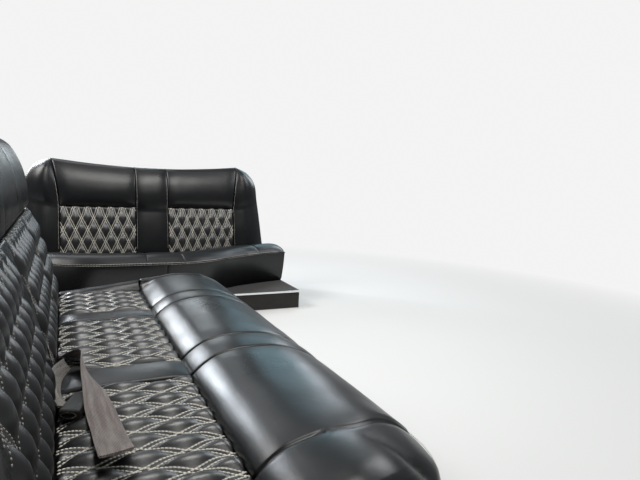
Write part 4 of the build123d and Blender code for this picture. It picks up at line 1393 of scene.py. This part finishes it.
class SEAT_OT_side_head_roll(bpy.types.Operator):
    """The plain roll over the top of the side back."""
    bl_idname = "seat.side_head_roll"
    bl_label = "Side head roll"

    def execute(self, context):
        seams = sorted(STRAP_SEAMS)
        back = [(HEAD_ROLL_BACK_X, SIDE_SHELL_Z), (side_shell_x(SIDE_SHELL_Z), SIDE_SHELL_Z),
                (side_shell_x(SIDE_QUILT_Z), SIDE_QUILT_Z)]
        marks = set(steps(NEAR_Y, FAR_Y, ROLL_STEP, seams))
        marks |= {NEAR_Y + HEAD_NEAR_ROLL * x for x in (0.01, 0.04, 0.1, 0.2, 0.4, 0.7)}
        marks |= {FAR_Y - HEAD_FAR_ROLL * x for x in (0.02, 0.1, 0.3, 0.6)}
        front = SIDE_ROLL_FRONT
        rings = []
        for y in sorted(marks):
            near, far = end_share(y - NEAR_Y, HEAD_NEAR_ROLL), end_share(FAR_Y - y, HEAD_FAR_ROLL)
            keep = math.sqrt(max(0.0, 1 - near ** 2)) * math.sqrt(max(0.0, 1 - far ** 2))
            pull = seam_pull(context.scene.rolls, y, seams, (NEAR_Y, FAR_Y))
            ring = []
            for point, normal, mark in zip(front.points, front.normals, front.marks):
                at = point - normal * (pull - roll_down(mark, 0.01))
                root = Vector((side_shell_x(min(point.y, SIDE_SHELL_Z)), min(point.y, SIDE_SHELL_Z)))
                at = root + (at - root) * (0.25 + 0.75 * keep)
                ring.append(Vector((at.x, y, at.y)))
            rings.append(ring + [Vector((x, y, z)) for x, z in back])
        soft_loft(rings, "side_head_roll", 31.0)
        return {"FINISHED"}


def spline(points):
    """A smooth line through the points, in ten pieces between two of them."""
    points = [Vector(p) for p in points]
    pieces = 10
    ends = [2 * points[0] - points[1]] + points + [2 * points[-1] - points[-2]]
    line = []
    for a, b, c, d in zip(ends, ends[1:], ends[2:], ends[3:]):
        for k in range(pieces):
            t = k / pieces
            line.append(0.5 * (2 * b + (c - a) * t + (2 * a - 5 * b + 4 * c - d) * t * t
                               + (3 * b - a - 3 * c + d) * t ** 3))
    return line + [points[-1]]


# Across a strap, from its top round to its underside: shares of its width from the left and of its thickness.
STRAP_SECTION = ([(x, 0.5) for x in (0.03, 0.07, 0.2, 0.35, 0.5, 0.65, 0.8, 0.93, 0.97)]
                 + [(1.0, 0.25), (1.0, -0.25)] + [(x, -0.5) for x in (0.97, 0.8, 0.5, 0.2, 0.03)]
                 + [(0.0, -0.25), (0.0, 0.25)])


# The webbing's hem: its length, its thickness as a share of the webbing's, its rows' places and their pitch.
HEM, HEM_THICK = 0.036, 1.9
HEM_ROWS, HEM_PITCH = (0.006, 0.034), 0.0042


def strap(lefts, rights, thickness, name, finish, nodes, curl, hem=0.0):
    """A strap between its two edges, with a doubled hem at its end and its weave in a UV map."""
    lefts, rights = spline(lefts), spline(rights)
    middles = [(a + b) / 2 for a, b in zip(lefts, rights)]
    marks = [0.0]
    for a, b in zip(middles, middles[1:]):
        marks.append(marks[-1] + (b - a).length)
    rings = []
    for i, (a, b) in enumerate(zip(lefts, rights)):
        way = (middles[min(i + 1, len(middles) - 1)] - middles[max(i - 1, 0)]).normalized()
        face = (b - a).cross(way).normalized()
        thick = thickness * (HEM_THICK if marks[-1] - marks[i] < hem else 1.0)
        rings.append([a.lerp(b, x) + face * (h * thick + curl * math.sin(math.pi * x))
                      for x, h in STRAP_SECTION])
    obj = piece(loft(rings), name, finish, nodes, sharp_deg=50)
    mesh = obj.data
    layer = mesh.uv_layers.new(name="weave")
    near = [min(range(len(middles)), key=lambda i: (middles[i] - v.co).length_squared) for v in mesh.vertices]
    for loop in mesh.loops:
        i = near[loop.vertex_index]
        across = (rights[i] - lefts[i]).normalized()
        layer.data[loop.index].uv = ((mesh.vertices[loop.vertex_index].co - lefts[i]).dot(across), marks[i])
    return obj, marks[-1]


# The belt's edges: left and right, from the tongue to the hem. It stands on edge where it leaves the tongue.
WEBBING_LEFT = (
    (-0.473, -0.596, 0.3075), (-0.468, -0.628, 0.312), (-0.448, -0.662, 0.334), (-0.4285, -0.7, 0.349),
    (-0.4295, -0.76, 0.347), (-0.4309, -0.81, 0.343), (-0.4301, -0.86, 0.335), (-0.4297, -0.9, 0.325),
    (-0.428, -0.95, 0.318), (-0.422, -1.02, 0.315), (-0.42, -1.09, 0.327), (-0.4185, -1.156, 0.344))
WEBBING_RIGHT = (
    (-0.426, -0.592, 0.3075), (-0.424, -0.622, 0.309), (-0.421, -0.655, 0.306), (-0.4205, -0.7, 0.305),
    (-0.4105, -0.76, 0.307), (-0.4, -0.81, 0.311), (-0.389, -0.86, 0.314), (-0.3838, -0.9, 0.314),
    (-0.378, -0.95, 0.314), (-0.372, -1.02, 0.315), (-0.3695, -1.09, 0.327), (-0.369, -1.144, 0.343))
# The stalk's edges, from where it comes out of the crease to the buckle.
STALK_LEFT = (
    (-0.462, -0.69, 0.328), (-0.479, -0.745, 0.334), (-0.487, -0.805, 0.334), (-0.484, -0.865, 0.33),
    (-0.472, -0.912, 0.32))
STALK_RIGHT = (
    (-0.448, -0.694, 0.305), (-0.462, -0.748, 0.306), (-0.467, -0.805, 0.307), (-0.463, -0.86, 0.309),
    (-0.448, -0.898, 0.312))
# The buckle's size and turn, the rounding of its edges, and the size and thickness of the rim round its slot.
BUCKLE = (0.080, 0.036, 0.020)
BUCKLE_TURN = math.radians(69)
BUCKLE_ROUND = 0.0048
SLOT_RIM, RIM_THICK = (0.0125, 0.027, 1), 0.0016


def buckle_place(bm):
    """Turns and moves a form made round the buckle's middle, its length along X, to the buckle's place."""
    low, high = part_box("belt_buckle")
    bmesh.ops.rotate(bm, verts=bm.verts, cent=(0, 0, 0), matrix=Matrix.Rotation(BUCKLE_TURN, 3, "Z"))
    bmesh.ops.translate(bm, verts=bm.verts, vec=(low + high) / 2)
    return bm


class SEAT_OT_lap_belt(bpy.types.Operator):
    """The lap belt on the near quilted panel: webbing, tongue, buckle and its stalk."""
    bl_idname = "seat.lap_belt"
    bl_label = "Lap belt"

    def execute(self, context):
        webbing, length = strap(WEBBING_LEFT, WEBBING_RIGHT, 0.0018, "belt_webbing_cloth", "webbing",
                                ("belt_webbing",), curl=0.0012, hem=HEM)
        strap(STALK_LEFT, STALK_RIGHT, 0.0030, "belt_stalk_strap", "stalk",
              ("belt_stalk",), curl=0.002)
        repaint("belt_tongue", "steel")
        self.buckle()
        self.hem()
        return {"FINISHED"}

    def buckle(self):
        """The buckle's housing, with its sunk top and its slot, and the bright rim round the slot."""
        bm = bmesh.new()
        bmesh.ops.create_cube(bm, size=1.0)
        bmesh.ops.scale(bm, vec=BUCKLE, verts=bm.verts)
        bmesh.ops.bevel(bm, geom=bm.edges[:], offset=BUCKLE_ROUND, offset_type="OFFSET", segments=4,
                        profile=0.5, affect="EDGES", material=-1)
        top = max(bm.faces, key=lambda f: f.calc_area() * (f.normal.z > 0.9))
        bmesh.ops.inset_region(bm, faces=[top], thickness=0.0035, depth=-0.0009, use_even_offset=True)
        end = max(bm.faces, key=lambda f: f.calc_area() * (f.normal.x < -0.9))
        bmesh.ops.inset_region(bm, faces=[end], thickness=0.0012, depth=0.0, use_even_offset=True)
        bmesh.ops.inset_region(bm, faces=[end], thickness=0.0006, depth=-0.0045, use_even_offset=True)
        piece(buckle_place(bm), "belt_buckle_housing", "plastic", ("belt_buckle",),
              sharp_deg=40)
        bm = bmesh.new()
        bmesh.ops.create_circle(bm, cap_ends=True, segments=32, radius=0.5)
        bmesh.ops.scale(bm, vec=SLOT_RIM, verts=bm.verts)
        made = bmesh.ops.inset_region(bm, faces=bm.faces[:], thickness=RIM_THICK, use_boundary=True,
                                      use_even_offset=True)["faces"]
        bmesh.ops.delete(bm, geom=[f for f in bm.faces if f not in made], context="FACES")
        bmesh.ops.solidify(bm, geom=bm.faces[:], thickness=RIM_THICK)
        upright = Matrix.Rotation(math.radians(-90), 3, "Y")
        bmesh.ops.rotate(bm, verts=bm.verts, cent=(0, 0, 0), matrix=upright)
        bmesh.ops.translate(bm, verts=bm.verts, vec=(-BUCKLE[0] / 2 - 0.0004, 0, 0))
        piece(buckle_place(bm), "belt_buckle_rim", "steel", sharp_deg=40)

    def hem(self):
        """The seam across the folded end of the webbing."""
        lefts, rights = spline(WEBBING_LEFT), spline(WEBBING_RIGHT)
        places = []
        for back in HEM_ROWS:
            run, i = 0.0, len(lefts) - 1
            while run < back:
                run += (lefts[i] - lefts[i - 1]).length
                i -= 1
            across = rights[i] - lefts[i]
            up = across.cross(lefts[i] - lefts[i - 1]).normalized()
            count = int(across.length / HEM_PITCH)
            places += [(lefts[i] + across * (0.04 + 0.92 * (k + 0.5) / count) + up * 0.0025,
                        across.normalized(), up) for k in range(count)]
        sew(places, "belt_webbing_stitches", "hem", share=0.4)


class SEAT_OT_base(bpy.types.Operator):
    """Carpet on the plinths and back boards, and the bright strip."""
    bl_idname = "seat.base"
    bl_label = "Base"

    def execute(self, context):
        for node in ("riser_side", "riser_corner", "riser_rear", "side_back_shell", "rear_back_shell"):
            repaint(node, "carpet")
        repaint("kick_strip", "chrome")
        return {"FINISHED"}


# Lamps: name, place, point that it faces, width, height, watts, colour.
LAMPS = (
    ("lamp_over_near", (0.2, -0.8, 3.4), (0.0, 0.2, 0.3), 1.6, 1.2, 50.0, (1.0, 0.99, 0.96)),
    ("lamp_over_front", (0.3, -2.6, 3.2), (0.0, 0.6, 0.4), 1.8, 1.2, 15.0, (1.0, 0.98, 0.94)),
    ("lamp_over_far", (0.3, 1.2, 3.4), (0.0, 0.3, 0.3), 1.6, 1.2, 6.0, (1.0, 1.0, 1.0)),
    ("lamp_wall_high", (-2.0, 1.0, 2.5), (-0.2, 0.3, 0.3), 1.6, 1.0, 62.0, (1.0, 0.97, 0.94)),
    ("lamp_aisle_high", (2.2, 0.4, 2.4), (-0.1, 0.0, 0.35), 1.6, 1.0, 27.0, (0.94, 0.97, 1.0)),
    ("lamp_rear_high", (-0.4, 2.9, 3.2), (-0.2, -0.2, 0.35), 1.6, 1.0, 10.0, (0.92, 0.96, 1.0)),
    ("lamp_rear_left", (-1.7, 3.4, 2.1), (-0.3, -0.6, 0.4), 0.4, 1.0, 52.0, (0.84, 0.92, 1.0)),
    ("lamp_rear_middle", (-0.95, 3.4, 2.0), (-0.3, -0.6, 0.4), 0.5, 1.0, 9.0, (0.86, 0.93, 1.0)),
    ("lamp_rear_low_left", (-1.2, 3.4, 1.5), (-0.3, -0.6, 0.35), 0.7, 0.5, 12.0, (0.93, 0.97, 1.0)),
    ("lamp_rear_low_right", (0.4, 3.4, 1.5), (-0.3, -0.6, 0.35), 0.7, 0.5, 4.5, (0.86, 0.96, 1.0)),
    ("lamp_wall_far", (-1.7, 2.6, 1.3), (-0.3, 0.6, 0.35), 0.5, 0.5, 12.0, (1.0, 0.98, 0.95)),
    ("lamp_aisle_far", (1.9, 2.0, 1.4), (0.5, 1.0, 0.4), 0.5, 0.8, 7.0, (0.85, 0.93, 1.0)),
    ("lamp_rear_aisle", (1.8, 3.2, 1.9), (-0.1, -0.3, 0.35), 1.2, 1.2, 7.0, (0.5, 0.85, 1.0)),
)


# The backdrop, the dim light from all sides and the share of the backdrop that shiny faces show.
PALE = (0.90, 0.90, 0.90, 1)
SKY, SKY_STRENGTH, SHINE_SHARE = (0.93, 0.96, 1.0, 1), 0.10, 0.14
# The floor's radius, and the distances between which it fades into the backdrop.
FLOOR_R, FADE = 30.0, (1.2, 3.4)


def camera_matrix():
    """The camera's place and turn, from the picture point that lines along Y run to, and its roll."""
    along = Vector((*((p - size / 2) / FOCAL_PX for p, size in zip(FAR_POINT_PX, PICTURE)), 1)).normalized()
    level = Vector((1, math.tan(math.radians(ROLL_DEG)), 0))
    across = (level - along * level.dot(along)).normalized()
    up = across.cross(along)
    rows = [(r.x, -r.y, -r.z) for r in (across, along, up)]
    return Matrix([(*row, place) for row, place in zip(rows, EYE)] + [(0, 0, 0, 1)])


def mix_shaders(tree, mask, near, far, output):
    """Goes from one shader to another with a mask, and on to the tree's output."""
    mix = tree.nodes.new("ShaderNodeMixShader")
    for source, socket in zip((mask, near.outputs[0], far.outputs[0]), mix.inputs):
        tree.links.new(source, socket)
    tree.links.new(mix.outputs[0], tree.nodes[output].inputs["Surface"])


class SEAT_OT_stage(bpy.types.Operator):
    """Camera, pale floor and soft studio lamps."""
    bl_idname = "seat.stage"
    bl_label = "Stage"

    def execute(self, context):
        scene = context.scene
        scene.view_settings.view_transform = "Standard"
        data = bpy.data.cameras.new("camera")
        data.sensor_width = 36.0
        data.lens = FOCAL_PX / PICTURE[0] * data.sensor_width
        camera = add_object("camera", data)
        camera.matrix_world = camera_matrix()
        scene.camera = camera
        for name, place, target, width, height, watts, colour in LAMPS:
            lamp = bpy.data.lights.new(name, "AREA")
            lamp.shape, lamp.size, lamp.size_y = "RECTANGLE", width, height
            lamp.energy, lamp.color = watts, colour
            obj = add_object(name, lamp)
            obj.location = place
            obj.rotation_euler = (Vector(target) - Vector(place)).to_track_quat("-Z", "Y").to_euler()
            obj.visible_camera = False
        self.make_world(scene)
        self.make_floor(scene)
        return {"FINISHED"}

    def make_world(self, scene):
        """A pale backdrop that gives only dim light."""
        world = bpy.data.worlds.new("studio")
        world.use_nodes = True
        scene.world = world
        tree = world.node_tree
        light = tree.nodes["Background"]
        set_inputs(light, Color=SKY, Strength=SKY_STRENGTH)
        shown = tree.nodes.new("ShaderNodeBackground")
        set_inputs(shown, Color=PALE)
        rays = tree.nodes.new("ShaderNodeLightPath").outputs
        seen = math_node(tree, "MAXIMUM", times(tree, rays["Is Glossy Ray"], SHINE_SHARE),
                         rays["Is Transmission Ray"])
        seen = math_node(tree, "MAXIMUM", rays["Is Camera Ray"], seen)
        mix_shaders(tree, seen, light, shown, "World Output")

    def make_floor(self, scene):
        """A pale floor that fades into the backdrop for the camera."""
        bm = bmesh.new()
        bmesh.ops.create_circle(bm, cap_ends=True, segments=96, radius=FLOOR_R)
        floor = add_object("studio_floor", to_mesh(bm, "studio_floor"))
        material, tree, shader = new_material("pale_floor")
        floor.data.materials.append(material)
        set_inputs(shader, Roughness=0.8, Specular_IOR_Level=0.2, Base_Color=(*scene.looks.floor, 1))
        far = tree.nodes.new("ShaderNodeEmission")
        set_inputs(far, Color=PALE)
        place = object_place(tree)
        away = tree.nodes.new("ShaderNodeVectorMath")
        away.operation = "LENGTH"
        tree.links.new(place, away.inputs[0])
        fade = map_range(tree, away.outputs["Value"], *FADE, 0.0, 1.0)
        camera_ray = tree.nodes.new("ShaderNodeLightPath").outputs["Is Camera Ray"]
        mix_shaders(tree, times(tree, fade, camera_ray), shader, far, "Material Output")


OPERATORS = (SEAT_OT_stage, SEAT_OT_base, SEAT_OT_side_quilts, SEAT_OT_side_plain, SEAT_OT_side_bolster,
             SEAT_OT_side_head_roll, SEAT_OT_aprons, SEAT_OT_rear_seat, SEAT_OT_rear_bolster,
             SEAT_OT_rear_back, SEAT_OT_lap_belt)


class SEAT_PT_panel(bpy.types.Panel):
    """The seat's groups of pieces in the sidebar."""
    bl_idname = "SEAT_PT_panel"
    bl_label = "Lounge seat"
    bl_space_type = "VIEW_3D"
    bl_region_type = "UI"
    bl_category = "Lounge seat"

    def draw(self, context):
        for group in (context.scene.quilt, context.scene.stitch, context.scene.rolls, context.scene.looks):
            for name in group.__annotations__:
                self.layout.prop(group, name)
        for operator in OPERATORS:
            self.layout.operator(operator.bl_idname)


GROUPS = (("quilt", QuiltSizes), ("stitch", StitchSizes), ("rolls", RollSizes), ("looks", Looks))


def register():
    for name, group in GROUPS:
        bpy.utils.register_class(group)
        setattr(bpy.types.Scene, name, bpy.props.PointerProperty(type=group))
    for cls in OPERATORS + (SEAT_PT_panel,):
        bpy.utils.register_class(cls)


def unregister():
    for cls in (SEAT_PT_panel,) + OPERATORS[::-1]:
        bpy.utils.unregister_class(cls)
    for name, group in GROUPS[::-1]:
        delattr(bpy.types.Scene, name)
        bpy.utils.unregister_class(group)


def main():
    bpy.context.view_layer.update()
    register()
    for operator in OPERATORS:
        group, name = operator.bl_idname.split(".")
        getattr(getattr(bpy.ops, group), name)()


if __name__ == "__main__":
    main()
